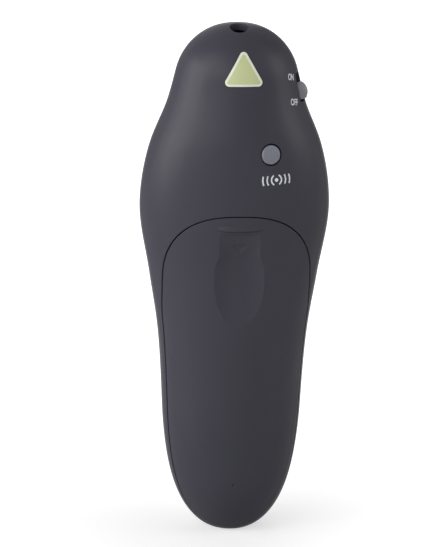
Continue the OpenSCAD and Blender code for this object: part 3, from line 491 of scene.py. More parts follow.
def power_slot(inset):
    """The power switch's slot in the right flank, with round corners."""
    points = []
    for k, (sy, sz) in enumerate([(1, 1), (-1, 1), (-1, -1), (1, -1)]):
        for p in range(0, 91, 15):
            phi = math.radians(90 * k + p)
            points.append((0, sy * (SLOT_W / 2 - SLOT_R) + (SLOT_R + inset) * math.cos(phi),
                           sz * (SLOT_L / 2 - SLOT_R) + (SLOT_R + inset) * math.sin(phi)))
    ring = [power_frame @ Vector(p) for p in points]
    return by_yz(np.array([p.y for p in ring]), np.array([p.z for p in ring]), BACK)


LASER_Y, APERTURE_D = -3.1, 4.2


def aperture(inset):
    """The laser's round hole in the top of the nose."""
    phi = np.radians(np.arange(0, 360, 6))
    r = APERTURE_D / 2 + inset
    return by_xy(r * np.cos(phi), LASER_Y + r * np.sin(phi), BACK)


def noise(tree, scale, detail=3.0, rough=0.55):
    """A noise pattern on the piece's own coordinates."""
    place = tree.nodes.new("ShaderNodeTexCoord")
    found = tree.nodes.new("ShaderNodeTexNoise")
    found.inputs["Scale"].default_value = scale
    found.inputs["Detail"].default_value = detail
    found.inputs["Roughness"].default_value = rough
    tree.links.new(place.outputs["Object"], found.inputs["Vector"])
    return found.outputs["Fac"]


def ramp(tree, source, low, high, start=0.3, end=0.7):
    """Turns a pattern into a run between two colours or two numbers."""
    found = tree.nodes.new("ShaderNodeMapRange" if isinstance(low, float) else "ShaderNodeValToRGB")
    if isinstance(low, float):
        for key, value in zip(("From Min", "From Max", "To Min", "To Max"), (start, end, low, high)):
            found.inputs[key].default_value = value
        tree.links.new(source, found.inputs["Value"])
        return found.outputs["Result"]
    found.color_ramp.elements[0].position, found.color_ramp.elements[0].color = start, (*low, 1)
    found.color_ramp.elements[1].position, found.color_ramp.elements[1].color = end, (*high, 1)
    tree.links.new(source, found.inputs["Fac"])
    return found.outputs["Color"]


def bumped(tree, shader, source, depth, strength=0.35):
    """Lets a pattern stand in a finish's surface."""
    bump = tree.nodes.new("ShaderNodeBump")
    bump.inputs["Strength"].default_value = strength
    bump.inputs["Distance"].default_value = depth
    tree.links.new(source, bump.inputs["Height"])
    tree.links.new(bump.outputs["Normal"], shader.inputs["Normal"])


def finish_of(name, dark, light, rough, grain=1800.0, depth=0.00002, patch=60.0, **sockets):
    """A moulded, printed or metal finish: its colour runs between two shades, its gloss between two
    roughnesses, and a grain stands in its surface."""
    material = bpy.data.materials.new(name)
    material.use_nodes = True
    tree = material.node_tree
    shader = tree.nodes["Principled BSDF"]
    tree.links.new(ramp(tree, noise(tree, patch), dark, light), shader.inputs["Base Color"])
    tree.links.new(ramp(tree, noise(tree, patch * 2.3, 5.0), float(rough[0]), float(rough[1])),
                   shader.inputs["Roughness"])
    if depth:
        bumped(tree, shader, noise(tree, grain, 2.0), depth)
    for key, value in sockets.items():
        shader.inputs[key.replace("_", " ")].default_value = value
    return material


soft_touch = finish_of("soft_touch_charcoal", (0.0385, 0.0373, 0.0490), (0.0423, 0.0410, 0.0538),
                       (0.31, 0.37), grain=2600.0, depth=0.000012)
# The coat is so fine a suede that it shades itself at a low angle, where its gloss fades
GLOSS, LOW_GLOSS, FADE_FROM, FADE_TO = 0.14, 0.015, 0.2, 0.65
coat = soft_touch.node_tree
slant = coat.nodes.new("ShaderNodeLayerWeight")
slant.inputs["Blend"].default_value = 0.5
coat.links.new(ramp(coat, slant.outputs["Facing"], GLOSS, LOW_GLOSS, FADE_FROM, FADE_TO),
               coat.nodes["Principled BSDF"].inputs["Specular IOR Level"])
# Depths between which the skin breaks at the flat foot's rim
REAR_RIM = (0.4, 3.4)
rear = panel("rear_shell_skin", BACK,
             [lambda inset: parting(BACK, inset), lambda inset: door_line(1, inset),
              connect_hole, power_slot, aperture],
             EDGE_ROUND, WALL, creases=foot_rims(BACK, *REAR_RIM))
rear.data.materials.append(soft_touch)
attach(rear, "case")

# ---- Deck and bulkhead ----
# Moulded in one with the rear shell, in bare black ABS: the deck that closes the case behind the
# door, round the cells' opening, the wall above it with the slot for the door's tongue, the hooks
# that its rails run in and the pockets of the three case screws.
DECK_LOW, DECK_BACK, DECK_FRONT, HALF_WALL = 2.2, -3.9, -2.7, 0.8
BULKHEAD_Z, BULKHEAD_T, CLOSE = 76.8, 1.2, -0.2
OPENING_HW, OPENING_Z, TONGUE_SLOT = 10.8, (16.2, 67.9), (5.3, -11.3, -9.5)
SCREWS = [(-14.2, 60.0), (14.2, 60.0), (0.0, 10.5)]
POCKET_R, SHANK_R, BOSS_R, POCKET_END = 1.85, 1.1, 2.3, -2.4
HOOK_X, HOOK_T, HOOK_Y, LIP_X, RAIL_Z = 12.65, 0.6, -5.9, 11.85, (44, 54)
RIB_BEVEL, BLOCK_ANGLE, SHARP = (0.1, 2), math.radians(30), math.radians(40)
LOOP_POINTS = 60
# How far parts that are joined run into each other, and the least step between two faces
BITE, HAIR = 0.1, 0.02


def ring(x, y, r, step=10):
    """A circle about (x, y)."""
    phi = np.radians(np.arange(0, 360, step))
    return np.stack([x + r * np.cos(phi), y + r * np.sin(phi)], -1)


def prism(name, loops, low, high, along):
    """A straight piece whose ends are the area between the first loop and the others, drawn out
    along y or z from low to high."""
    loops = [np.asarray(loop, float) for loop in loops]
    flat, ties = np.concatenate(loops), []
    for loop in loops:
        start = len(ties)
        ties += [(start + i, start + (i + 1) % len(loop)) for i in range(len(loop))]
    made = delaunay_2d_cdt([Vector(point) for point in flat], ties, [], 0, SAME)
    tris = np.array([f for f in made[2] if len(f) == 3])
    spots = np.array([tuple(v) for v in made[0]])
    tris = tris[crossings(spots[tris].mean(1), loops)]
    order = [0, 2, 1] if along == "y" else [0, 1, 2]
    ends = [np.column_stack([spots, np.full(len(spots), float(end))])[:, order] for end in (low, high)]
    faces = [tuple(f) for f in tris] + [tuple(f[::-1] + len(spots)) for f in tris]
    for start, end in ties:
        faces.append((start, end, end + len(spots), start + len(spots)))
    return new_object(name, np.concatenate(ends), [tuple(int(i) for i in f) for f in faces])


def deck_loop(y, z0, z1, inset):
    """Outline of the case's inside, cut by a plane at depth y, between two heights."""
    z = np.linspace(z0, z1, LOOP_POINTS)
    share = y / (half_depth(z, BACK) - inset)
    x = (half_width(z) - inset) * np.sqrt(np.maximum(0.01, 1 - share ** 2))
    return np.concatenate([np.stack([x, z], -1), np.stack([-x[::-1], z[::-1]], -1)])


def level_loop(z, inset, y1):
    """Outline of the rear shell's inside, cut level at height z, from the plane y = y1 outward."""
    w, d = float(half_width(z)) - inset, float(half_depth(z, BACK)) - inset
    start = math.asin(abs(y1) / d)
    a = np.linspace(start, math.pi - start, LOOP_POINTS)
    return np.stack([w * np.cos(a), BACK * d * np.sin(a)], -1)


def square(x0, y0, x1, y1):
    """The corners of a rectangle, in turn."""
    return [(x0, y0), (x1, y0), (x1, y1), (x0, y1)]


def box(name, low, high, bevel=0.0, segments=3):
    """A block between two corners, in mm."""
    bpy.ops.object.select_all(action="DESELECT")
    bpy.ops.mesh.primitive_cube_add(size=1)
    block = bpy.context.object
    block.name = name
    size = [(b - a) * MM for a, b in zip(low, high)]
    middle = Vector([(a + b) / 2 * MM for a, b in zip(low, high)])
    block.data.transform(Matrix.Translation(middle) @ Matrix.Diagonal((*size, 1)))
    if bevel:
        soften(block, bevel, segments)
    return block


def side_box(name, way, near, far, low, high, bevel=0.0, segments=3):
    """A block on the right (1) or the left (-1), between two distances from the middle. Low and
    high are its corners in y and z."""
    x0, x1 = sorted((way * near, way * far))
    return box(name, (x0, *low), (x1, *high), bevel, segments)


def soften(thing, width, segments=3):
    """Rounds a piece's sharp edges and shades it smooth between what is left."""
    pick(thing)
    bevel = thing.modifiers.new("bevel", "BEVEL")
    bevel.width, bevel.segments = width * MM, segments
    bevel.limit_method, bevel.angle_limit = "ANGLE", SHARP
    bpy.ops.object.modifier_apply(modifier=bevel.name)
    bpy.ops.object.shade_smooth_by_angle(angle=BLOCK_ANGLE)


def joined(name, things):
    """Makes one object of several."""
    bpy.ops.object.select_all(action="DESELECT")
    for thing in things:
        thing.select_set(True)
    bpy.context.view_layer.objects.active = things[0]
    bpy.ops.object.join()
    things[0].name = name
    return things[0]


deck_parts = [
    prism("deck", [deck_loop(DECK_BACK, DECK_LOW, BULKHEAD_Z + BITE, HALF_WALL),
                   square(-OPENING_HW, OPENING_Z[0], OPENING_HW, OPENING_Z[1])]
          + [ring(x, z, POCKET_R) for x, z in SCREWS], DECK_BACK, DECK_FRONT, "y"),
    prism("bulkhead", [level_loop(BULKHEAD_Z, HALF_WALL, CLOSE), square(
        -TONGUE_SLOT[0], TONGUE_SLOT[1], TONGUE_SLOT[0], TONGUE_SLOT[2])],
        BULKHEAD_Z, BULKHEAD_Z + BULKHEAD_T, "z"),
]
for x, z in SCREWS:
    deck_parts += [
        prism("pocket", [ring(x, z, BOSS_R), ring(x, z, POCKET_R)], DECK_BACK + BITE, POCKET_END, "y"),
        prism("boss", [ring(x, z, BOSS_R), ring(x, z, SHANK_R)], POCKET_END - HAIR, 0, "y"),
    ]
for way in (-1, 1):
    deck_parts += [
        side_box("hook", way, HOOK_X, HOOK_X + HOOK_T,
                 (HOOK_Y, RAIL_Z[0]), (DECK_BACK + BITE, RAIL_Z[1]), *RIB_BEVEL),
        side_box("hook_lip", way, LIP_X, HOOK_X + BITE,
                 (HOOK_Y, RAIL_Z[0]), (HOOK_Y + HOOK_T, RAIL_Z[1]), *RIB_BEVEL),
    ]
deck = joined("battery_deck", deck_parts)
moulded = finish_of("moulded_black", (0.014, 0.014, 0.016), (0.019, 0.019, 0.021), (0.42, 0.55),
                    grain=1500.0, depth=0.000015, Specular_IOR_Level=0.4)
deck.data.materials.append(moulded)
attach(deck, "case")

# ---- Laser saddles and window seat ----
# Moulded into the nose of the rear shell: two ribs, hollowed to carry the laser's barrel, and a
# short tube under the aperture, whose wider lower half holds the red window.
BARREL_R = 3.25
SADDLES, SADDLE_X, SADDLE_T, SADDLE_POINTS = (101.5, 107.8), (-8.0, 6.5), 1.2, 30
SEAT_R, SEAT_BORE, SEAT_Z = 2.95, 2.45, (112.1, 114.3, 115.2)
nose_parts = []
for z in SADDLES:
    x = np.linspace(*SADDLE_X, SADDLE_POINTS)
    y = -(half_depth(z, BACK) - HALF_WALL) * np.sqrt(1 - (x / (half_width(z) - HALF_WALL)) ** 2)
    phi = np.radians(np.arange(0, -181, -10))
    cup = np.stack([BARREL_R * np.cos(phi), LASER_Y + BARREL_R * np.sin(phi)], -1)
    outline = np.concatenate([np.stack([x, y], -1), [(SADDLE_X[1], CLOSE), (BARREL_R, CLOSE)], cup,
                              [(-BARREL_R, CLOSE), (SADDLE_X[0], CLOSE)]])
    nose_parts.append(prism("saddle", [outline], z, z + SADDLE_T, "z"))
for bore, z0, z1 in ((SEAT_BORE, SEAT_Z[0], SEAT_Z[1]), (APERTURE_D / 2, SEAT_Z[1] - HAIR, SEAT_Z[2])):
    nose_parts.append(prism("seat", [ring(0, LASER_Y, SEAT_R), ring(0, LASER_Y, bore)], z0, z1, "z"))
nose = joined("laser_saddles", nose_parts)
nose.data.materials.append(soft_touch)
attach(nose, "case")
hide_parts("rear_shell")

# ---- Battery door ----
# The long cover over the two cells, in the same coated ABS. It slides off toward the tail by a
# dished thumb recess under a raised grip bar, with a small arrow and a pip sunk in its face. Two
# rails run in the deck's hooks and a tongue enters the wall above the cells.
SCOOP_Z, SCOOP_RX, SCOOP_LOW, SCOOP_HIGH = 60.5, 5.65, 9.8, 18.0
SCOOP_TOP, SCOOP_CREASE, SCOOP_DEPTH, SCOOP_TOP_DEPTH, SCOOP_EDGE = 72.05, 65.7, 1.3, 0.35, 2.6
NECK_HW, NECK_Z, BREAK_HW = 4.6, (64.0, 67.2), 4.8
SCOOP_SIDE_POINTS, SCOOP_TOP_POINTS, BREAK_POINTS = 22, 8, 26
BAR_Z, BAR_HW, BAR_RZ, BAR_P, BAR_PROUD, BAR_BEVEL = 73.1, 5.0, 0.75, 3.0, 0.3, 0.72
# The bar's height is looked up from outside in: largest and least size, and how many are tried
BAR_SIZES = (1.6, 0.02, 80)
ARROW_TOP, ARROW_TIP, ARROW_HW, ARROW_DEPTH, ARROW_BEVEL = 69.5, 67.2, 2.1, 0.2, 0.3
DOT_AT, DOT_R, DOT_DEPTH = (-0.34, 13.0), 0.36, 0.38
DOOR_RIM = (4.5, 5.0)
# Where the mesh is finer for the relief: x and z from and to, and its pitch
RELIEF_PATCH = (-7, 7, 49, 75.2, 0.35)


def scoop_half(z):
    """Half the recess's width: an egg, drawn in to a neck below the grip bar."""
    rise = np.where(z < SCOOP_Z, (SCOOP_Z - z) / SCOOP_LOW, (z - SCOOP_Z) / SCOOP_HIGH)
    egg = SCOOP_RX * np.sqrt(np.maximum(1e-9, 1 - rise ** 2))
    turn = np.clip((z - NECK_Z[0]) / (NECK_Z[1] - NECK_Z[0]), 0, 1)
    return egg + (np.minimum(egg, NECK_HW) - egg) * turn ** 2 * (3 - 2 * turn)


def scoop_line(grow):
    """The recess's rim, cut off square under the grip bar."""
    phi = np.radians(np.arange(-90, 0, 4))
    low_x, low_z = (SCOOP_RX + grow) * np.cos(phi), SCOOP_Z + (SCOOP_LOW + grow) * np.sin(phi)
    high_z = np.linspace(SCOOP_Z, SCOOP_TOP + grow, SCOOP_SIDE_POINTS)
    high_x = scoop_half(np.minimum(high_z, SCOOP_TOP)) + grow
    top_x = np.linspace(high_x[-1], 0, SCOOP_TOP_POINTS)[1:]
    right_x = np.concatenate([low_x, high_x, top_x])
    right_z = np.concatenate([low_z, high_z, np.full(len(top_x), SCOOP_TOP + grow)])
    return by_xz(np.concatenate([right_x, -right_x[-2::-1]]),
                 np.concatenate([right_z, right_z[-2::-1]]))


def bar_line(size):
    """The grip bar's outline, at 1 on its foot and smaller toward its top."""
    phi = np.radians(np.arange(0, 361, 6))
    return by_xz((BAR_HW - BAR_RZ + BAR_RZ * size) * squarish(np.cos(phi), BAR_P),
                 BAR_Z + BAR_RZ * size * squarish(np.sin(phi), BAR_P))


def bar_size(x, z):
    """1 on the grip bar's foot, less on its top."""
    size = np.full(len(x), 2.0)
    for s in np.linspace(*BAR_SIZES):
        wide, high = BAR_HW - BAR_RZ + BAR_RZ * s, BAR_RZ * s
        inside = (np.abs(x) / wide) ** BAR_P + (np.abs(z - BAR_Z) / high) ** BAR_P <= 1.0001
        size = np.where(inside, s, size)
    return size


def arrow_margin(x, z):
    """Distance from the arrow's nearest side, more than 0 inside it."""
    run, rise = ARROW_HW, ARROW_TOP - ARROW_TIP
    slant = (rise * (ARROW_HW - np.abs(x)) - run * (ARROW_TOP - z)) / math.hypot(run, rise)
    return np.minimum(ARROW_TOP - z, slant)


def arrow_line(inset):
    """The arrow's outline, drawn in by so many mm."""
    run, rise = ARROW_HW, ARROW_TOP - ARROW_TIP
    slope = math.hypot(run, rise)
    top = ARROW_TOP - inset
    half = ARROW_HW - inset * (slope + run) / rise
    tip = ARROW_TIP + inset * slope / run
    corners = np.array([(half, top), (-half, top), (0, tip)])
    along = np.linspace(0, 1, 9)[:-1, None]
    sides = [one + (two - one) * along for one, two in zip(corners, np.roll(corners, -1, 0))]
    points = np.concatenate(sides + [corners[:1]])
    return by_xz(points[:, 0], points[:, 1])


def dot_line(r):
    """A circle round the pip."""
    phi = np.radians(np.arange(0, 361, 30))
    return by_xz(DOT_AT[0] + r * np.cos(phi), DOT_AT[1] + r * np.sin(phi))


def door_relief(x, z):
    """How deep the recess, the arrow and the pip go in at x and z, less the bar's height."""
    below = np.clip((SCOOP_CREASE - z) / (SCOOP_CREASE - SCOOP_Z + SCOOP_LOW), 0, 1)
    rise = (SCOOP_TOP_DEPTH - SCOOP_DEPTH) * (z - SCOOP_CREASE) / (SCOOP_TOP - SCOOP_CREASE)
    deep = np.where(z < SCOOP_CREASE, SCOOP_DEPTH * (1 - below ** 2), SCOOP_DEPTH + rise)
    across = np.clip(1 - np.abs(x / scoop_half(z)) ** SCOOP_EDGE, 0, 1)
    dish = np.where((z > SCOOP_Z - SCOOP_LOW) & (z < SCOOP_TOP - HOLD / 2), deep * across, 0)
    bar = BAR_PROUD * np.clip((1 - bar_size(x, z)) / (1 - BAR_BEVEL), 0, 1) * np.clip(
        (BAR_Z + BAR_RZ - z) / (2 * BAR_RZ), 0, 1)
    arrow = ARROW_DEPTH * np.clip(arrow_margin(x, z) / ARROW_BEVEL, 0, 1)
    dot = DOT_DEPTH * np.clip(1 - np.hypot(x - DOT_AT[0], z - DOT_AT[1]) / DOT_R, 0, 1)
    return dish - bar + arrow + dot


scoop_break = by_xz(np.linspace(-BREAK_HW, BREAK_HW, BREAK_POINTS),
                    np.full(BREAK_POINTS, SCOOP_CREASE))
door = panel("battery_door_skin", BACK, [lambda inset: door_line(-1, inset)], EDGE_ROUND, WALL,
             relief=door_relief,
             creases=[*foot_rims(BACK, *DOOR_RIM),
                      scoop_line(HOLD), scoop_line(0), scoop_line(-HOLD), scoop_break,
                      bar_line(1.1), bar_line(1), bar_line(BAR_BEVEL), bar_line(BAR_BEVEL - 0.1),
                      arrow_line(-HOLD), arrow_line(0), arrow_line(ARROW_BEVEL),
                      dot_line(DOT_R), dot_line(DOT_R / 2)],
             patches=[RELIEF_PATCH])
door.data.materials.append(soft_touch)
RAIL_X, RAIL_T, RAIL_REACH, RAIL_END, LIP_W, LIP_T = 10.95, 0.6, -9.2, -4.3, 1.3, 0.7
TONGUE_HW, TONGUE_Y, TONGUE_Z, TONGUE_BEVEL = 5, (-11, -9.8), (72, 79), 0.25
ROOT_Y, ROOT_TOP, ROOT_BEVEL = (-12.5, -10.9), 75, (0.15, 2)
door_parts = [
    box("tongue", (-TONGUE_HW, TONGUE_Y[0], TONGUE_Z[0]),
        (TONGUE_HW, TONGUE_Y[1], TONGUE_Z[1]), TONGUE_BEVEL),
    box("tongue_root", (-TONGUE_HW, ROOT_Y[0], TONGUE_Z[0]),
        (TONGUE_HW, ROOT_Y[1], ROOT_TOP), *ROOT_BEVEL),
]
for way in (-1, 1):
    door_parts += [
        side_box("rail", way, RAIL_X, RAIL_X + RAIL_T,
                 (RAIL_REACH, RAIL_Z[0]), (RAIL_END, RAIL_Z[1]), *RIB_BEVEL),
        side_box("rail_lip", way, RAIL_X, RAIL_X + LIP_W,
                 (RAIL_END - LIP_T, RAIL_Z[0]), (RAIL_END, RAIL_Z[1]), *RIB_BEVEL),
    ]
rails = joined("battery_door_rails", door_parts)
rails.data.materials.append(moulded)
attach(rails, "door")
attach(door, "door")
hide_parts("battery_door")

# ---- Front shell ----
# The key side of the case, in the same coated ABS. Its opening has a step behind, on which the
# bezel lies. Five bosses take the case and board screws, and four shelves carry the board.
BEZEL_Z, BEZEL_RX, BEZEL_RZ, BEZEL_P, BEZEL_FIT, BEZEL_T = 76.0, 12.6, 30.0, 2.8, 0.1, 1.0
LEDGE, LEDGE_ROUND, LEDGE_PITCH = 1.0, 0.05, 2.0
FRONT_RIM = (0.4, 9.5)


def oval(x, z, rx, rz, p, step=4):
    """Angles of an oval outline on the skin."""
    phi = np.radians(np.arange(0, 360, step))
    return by_xz(x + rx * squarish(np.cos(phi), p), z + rz * squarish(np.sin(phi), p))


def bezel_line(grow):
    """The outline of the bezel and of its opening."""
    return oval(0, BEZEL_Z, BEZEL_RX + grow, BEZEL_RZ + grow, BEZEL_P, 2)


front = panel("front_shell_skin", FRONT,
              [lambda inset: parting(FRONT, inset), lambda inset: bezel_line(BEZEL_FIT + inset)],
              EDGE_ROUND, WALL, creases=foot_rims(FRONT, *FRONT_RIM))
front.data.materials.append(soft_touch)
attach(front, "case")
step = panel("keypad_ledge", FRONT,
             [lambda inset: bezel_line(LEDGE - inset), lambda inset: bezel_line(inset - LEDGE)],
             LEDGE_ROUND, LEDGE - HAIR, lift=-BEZEL_T - HAIR, pitch=LEDGE_PITCH)
step.data.materials.append(soft_touch)
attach(step, "case")
TUBE_R, BORE_R, BOSS_ENDS = 2.15, 1.02, (5.9, 5.9, 9.6)
BOARD_FRONT, POST_X, POST_Z, POST_END = 4.2, 7.5, 28.5, 9.2
SHELF_Z, SHELF_X, SHELF_T, SHELF_DEPTH = (78, 90), 9.8, 1.6, 11
front_parts = [prism("boss", [ring(x, z, TUBE_R), ring(x, z, BORE_R)], 0, end, "y")
               for (x, z), end in zip(SCREWS, BOSS_ENDS)]
for x in (-POST_X, POST_X):
    front_parts.append(prism("post", [ring(x, POST_Z, TUBE_R), ring(x, POST_Z, BORE_R)],
                             BOARD_FRONT, POST_END, "y"))
for z in SHELF_Z:
    for way in (-1, 1):
        share = (BOARD_FRONT + SHELF_T) / SHELF_DEPTH
        reach = float(half_width(z) - HALF_WALL) * math.sqrt(1 - share ** 2)
        front_parts.append(side_box("shelf", way, SHELF_X, reach,
                                    (BOARD_FRONT, z), (BOARD_FRONT + SHELF_T, z + SHELF_T)))
bosses = joined("front_bosses", front_parts)
bosses.data.materials.append(moulded)
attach(bosses, "case")
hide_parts("front_shell")

# ---- Keypad bezel ----
# A glossy black plate of polycarbonate let into the front shell, with an opening for each key and
# a small one for the status light. The step behind it and the keys' flanges hold it.
KEY_GAP, BEZEL_ROUND = 0.3, 0.1
# Each key: x, z, half width, half height, roundness of its outline
PADS = {
    "laser": (0, 97.0, 4.2, 4.2, 2),
    "next": (0, 85.2, 8.2, 6.6, 2.8),
    "back": (0, 71.0, 8.2, 6.6, 2.8),
    "start": (-5, 56.6, 3.6, 3.1, 2.2),
    "blank": (5, 56.6, 3.6, 3.1, 2.2),
}
LED_Z, LED_D, LED_GAP, LED_STEP = 61.8, 1.8, 0.05, 12


def pad_edge(pad, way, start):
    """A key's outline as an edge that is drawn out (1) or in (-1) from where it starts."""
    x, z, rx, rz, p = PADS[pad]
    return lambda inset: oval(x, z, rx + (start + way * inset), rz + (start + way * inset), p)


def led_hole(inset):
    """The round hole of the status light."""
    r = LED_D / 2 + LED_GAP + inset
    return oval(0, LED_Z, r, r, 2, LED_STEP)


piano_black = finish_of("gloss_black", (0.004, 0.004, 0.005), (0.006, 0.006, 0.007), (0.09, 0.16),
                        grain=900.0, depth=0.000002, Specular_IOR_Level=0.3, Coat_Weight=0.05,
                        Coat_Roughness=0.05)
bezel = panel("keypad_bezel_plate", FRONT,
              [lambda inset: bezel_line(-inset), *(pad_edge(pad, 1, KEY_GAP) for pad in PADS), led_hole],
              BEZEL_ROUND, BEZEL_T)
bezel.data.materials.append(piano_black)
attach(bezel, "case")
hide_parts("keypad_bezel")

# ---- Keys ----
# Five rubber-like caps that stand a little proud of the bezel, the laser's in red. A flange behind
# each one holds it in, a stem presses its switch, and its mark is printed in a worn white.
KEY_PROUD, KEY_ROUND, KEY_PITCH, KEY_SKIRT, KEY_DISH, DISH_REACH = 0.6, 0.45, 0.6, 0.1, 0.35, 0.8
FLANGE_DROP, FLANGE_T, FLANGE_SIDE, FLANGE_END = 1.3, 0.6, 0.8, 0.2
FLANGE_ROUND, FLANGE_PITCH, PLUNGER_TOP, STEM_SHARE = 0.05, 1.5, 8.5, 0.45
PRINT_LIFT, LAY_ROUNDS = 0.02, 6


def pin(name, foot, head, radius, bevel=0.0, around=48):
    """A round bar between two points, in mm."""
    foot, head = Vector(foot), Vector(head)
    bpy.ops.object.select_all(action="DESELECT")
    bpy.ops.mesh.primitive_cylinder_add(vertices=around, radius=radius * MM,
                                        depth=(head - foot).length * MM)
    bar = bpy.context.object
    bar.name = name
    turn = (head - foot).to_track_quat("Z", "Y").to_matrix().to_4x4()
    bar.data.transform(Matrix.Translation((head + foot) / 2 * MM) @ turn)
    if bevel:
        soften(bar, bevel)
    return bar


def key_relief(pad):
    """The shallow dish in a key's face."""
    x0, z0, rx, rz = PADS[pad][:4]

    def relief(x, z):
        spread = (np.abs(x - x0) / rx) ** 2 + (np.abs(z - z0) / rz) ** 2
        return KEY_DISH * np.clip(1 - spread / DISH_REACH, 0, 1)
    return relief


def sheet_of(name, shapes):
    """A flat print in its own plane, in mm, cut fine enough to be laid on the skin."""
    points, faces = [], []
    for shape in shapes:
        faces.append(tuple(range(len(points), len(points) + len(shape))))
        points += [(x, y, 0) for x, y in shape]
    return new_object(name, points, faces)


def laid(thing, side, at, turn, lift, relief=None, cuts=5):
    """Lays a flat print on the skin, its middle at the two angles in `at`."""
    pick(thing)
    bpy.ops.object.mode_set(mode="EDIT")
    bpy.ops.mesh.select_all(action="SELECT")
    bpy.ops.mesh.quads_convert_to_tris()
    bpy.ops.mesh.subdivide(number_cuts=cuts)
    bpy.ops.object.mode_set(mode="OBJECT")
    a0, t0 = at
    start = skin(a0, t0, side)
    n = outward(a0, t0, side)
    rise = skin(a0, t0 + 2 * SMALL_TURN, side) - skin(a0, t0 - 2 * SMALL_TURN, side)
    rise = rise / np.linalg.norm(rise)
    across = np.cross(rise, n)
    u = math.cos(turn) * across + math.sin(turn) * rise
    v = math.cos(turn) * rise - math.sin(turn) * across
    flat = np.array([tuple(p.co) for p in thing.data.vertices]) / MM
    goal = start + flat[:, :1] * u + flat[:, 1:2] * v
    # Each point moves over the skin until it lies over its place in the flat print
    a, t = np.full(len(flat), float(a0)), np.full(len(flat), float(t0))
    for _ in range(LAY_ROUNDS):
        miss = skin(a, t, side) - goal
        by_a = (skin(a + SMALL_TURN, t, side) - skin(a - SMALL_TURN, t, side)) / (2 * SMALL_TURN)
        by_t = (skin(a, t + SMALL_TURN, side) - skin(a, t - SMALL_TURN, side)) / (2 * SMALL_TURN)
        r1, r2, j11, j12, j21, j22 = miss @ u, miss @ v, by_a @ u, by_t @ u, by_a @ v, by_t @ v
        det = j11 * j22 - j12 * j21
        a, t = a - (r1 * j22 - r2 * j12) / det, t - (r2 * j11 - r1 * j21) / det
    out = skin(a, t, side)
    drop = relief(out[:, 0], out[:, 2]) if relief else 0.0
    out = out + outward(a, t, side) * np.reshape(lift - drop, (-1, 1))
    thing.data.vertices.foreach_set("co", (out * MM).ravel())
    thing.data.update()
    middle = thing.data.polygons[len(thing.data.polygons) // 2]
    if np.dot(tuple(middle.normal), n) < 0:
        thing.data.flip_normals()
    return thing


def star(points, outer, inner):
    """A star's outline, its tips and its notches in turn."""
    return [(r * math.sin(math.pi * k / points), r * math.cos(math.pi * k / points))
            for k, r in enumerate((outer, inner) * points)]


CHEVRON = [(-0.9, 2.1), (0.2, 2.1), (1.9, 0), (0.2, -2.1), (-0.9, -2.1), (0.8, 0)]
SCREEN = [(-1.5, 1.1), (1.5, 1.1), (1.5, -1.1), (-1.5, -1.1)]
SCREEN_INSIDE = [(-1.15, 0.75), (1.15, 0.75), (1.15, -0.75), (-1.15, -0.75)]
MARKS = {
    "laser": [star(8, 1.7, 0.75)],
    "next": [CHEVRON],
    "back": [[(-x, y) for x, y in reversed(CHEVRON)]],
    "start": [[(-0.8, 1.15), (1.2, 0), (-0.8, -1.15)]],
    "blank": [[SCREEN[k - 1], SCREEN[k], SCREEN_INSIDE[k], SCREEN_INSIDE[k - 1]] for k in (1, 2, 3, 0)],
}
key_rubber = finish_of("key_rubber", (0.075, 0.078, 0.086), (0.088, 0.092, 0.102), (0.40, 0.48),
                       grain=2400.0, depth=0.000008, Specular_IOR_Level=0.4)
laser_red = finish_of("laser_key_red", (0.36, 0.012, 0.012), (0.44, 0.018, 0.016), (0.30, 0.38),
                      grain=2400.0, depth=0.000008, Specular_IOR_Level=0.45)
white_print = finish_of("white_print", (0.60, 0.615, 0.64), (0.72, 0.735, 0.76), (0.45, 0.6),
                        grain=5200.0, depth=0.000004, patch=900.0)
for pad, (x, z, rx, rz, p) in PADS.items():
    cap = panel(pad + "_key_cap", FRONT, [pad_edge(pad, -1, 0)], KEY_ROUND,
                KEY_PROUD + FLANGE_DROP + KEY_SKIRT,
                lift=KEY_PROUD, relief=key_relief(pad), pitch=KEY_PITCH)
    cap.data.materials.append(laser_red if pad == "laser" else key_rubber)
    flange = panel(pad + "_key_flange", FRONT, [
        lambda inset: oval(x, z, rx + FLANGE_SIDE - inset, rz + FLANGE_END - inset, p)],
        FLANGE_ROUND, FLANGE_T, lift=-FLANGE_DROP, pitch=FLANGE_PITCH)
    face_y = float(skin(*by_xz(x, z), FRONT)[1])
    stem = pin(pad + "_key_stem", (x, PLUNGER_TOP, z), (x, face_y - FLANGE_DROP - FLANGE_T / 2, z),
               min(rx, rz) * STEM_SHARE)
    cap = joined(pad + "_key_cap", [cap, flange, stem])
    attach(cap, pad + "_button")
    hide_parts(pad + "_key")
    mark = laid(sheet_of(pad + "_key_mark", MARKS[pad]), FRONT, by_xz(x, z), 0,
                KEY_PROUD + PRINT_LIFT, key_relief(pad))
    mark.data.materials.append(white_print)
    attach(mark, pad + "_button")

# ---- Pairing button ----
# A small disc of grey plastic that lies flush in its hole, with a softened edge. Its stem reaches
# in to the plunger of its own tactile switch on the board.
CAP_T, STEM_D, STEM_L, CAP_BEVEL = 1.6, 2.4, 10.3, 0.35
button_grey = finish_of("pairing_button_grey", (0.155, 0.160, 0.195), (0.175, 0.180, 0.215),
                        (0.34, 0.42), grain=2600.0, depth=0.000006, Specular_IOR_Level=0.4)
cap = pin("pairing_button_cap", (0, 0, CAP_T), (0, 0, 0), CONNECT_D / 2, CAP_BEVEL, 64)
stem = pin("pairing_button_stem", (0, 0, STEM_L), (0, 0, CAP_T - BITE), STEM_D / 2)
cap = joined("pairing_button_cap", [cap, stem])
cap.data.transform(Matrix.Scale(MM, 4) @ connect_frame @ Matrix.Scale(1 / MM, 4))
cap.data.materials.append(button_grey)
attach(cap, "pairing_button")
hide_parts("connect_button")

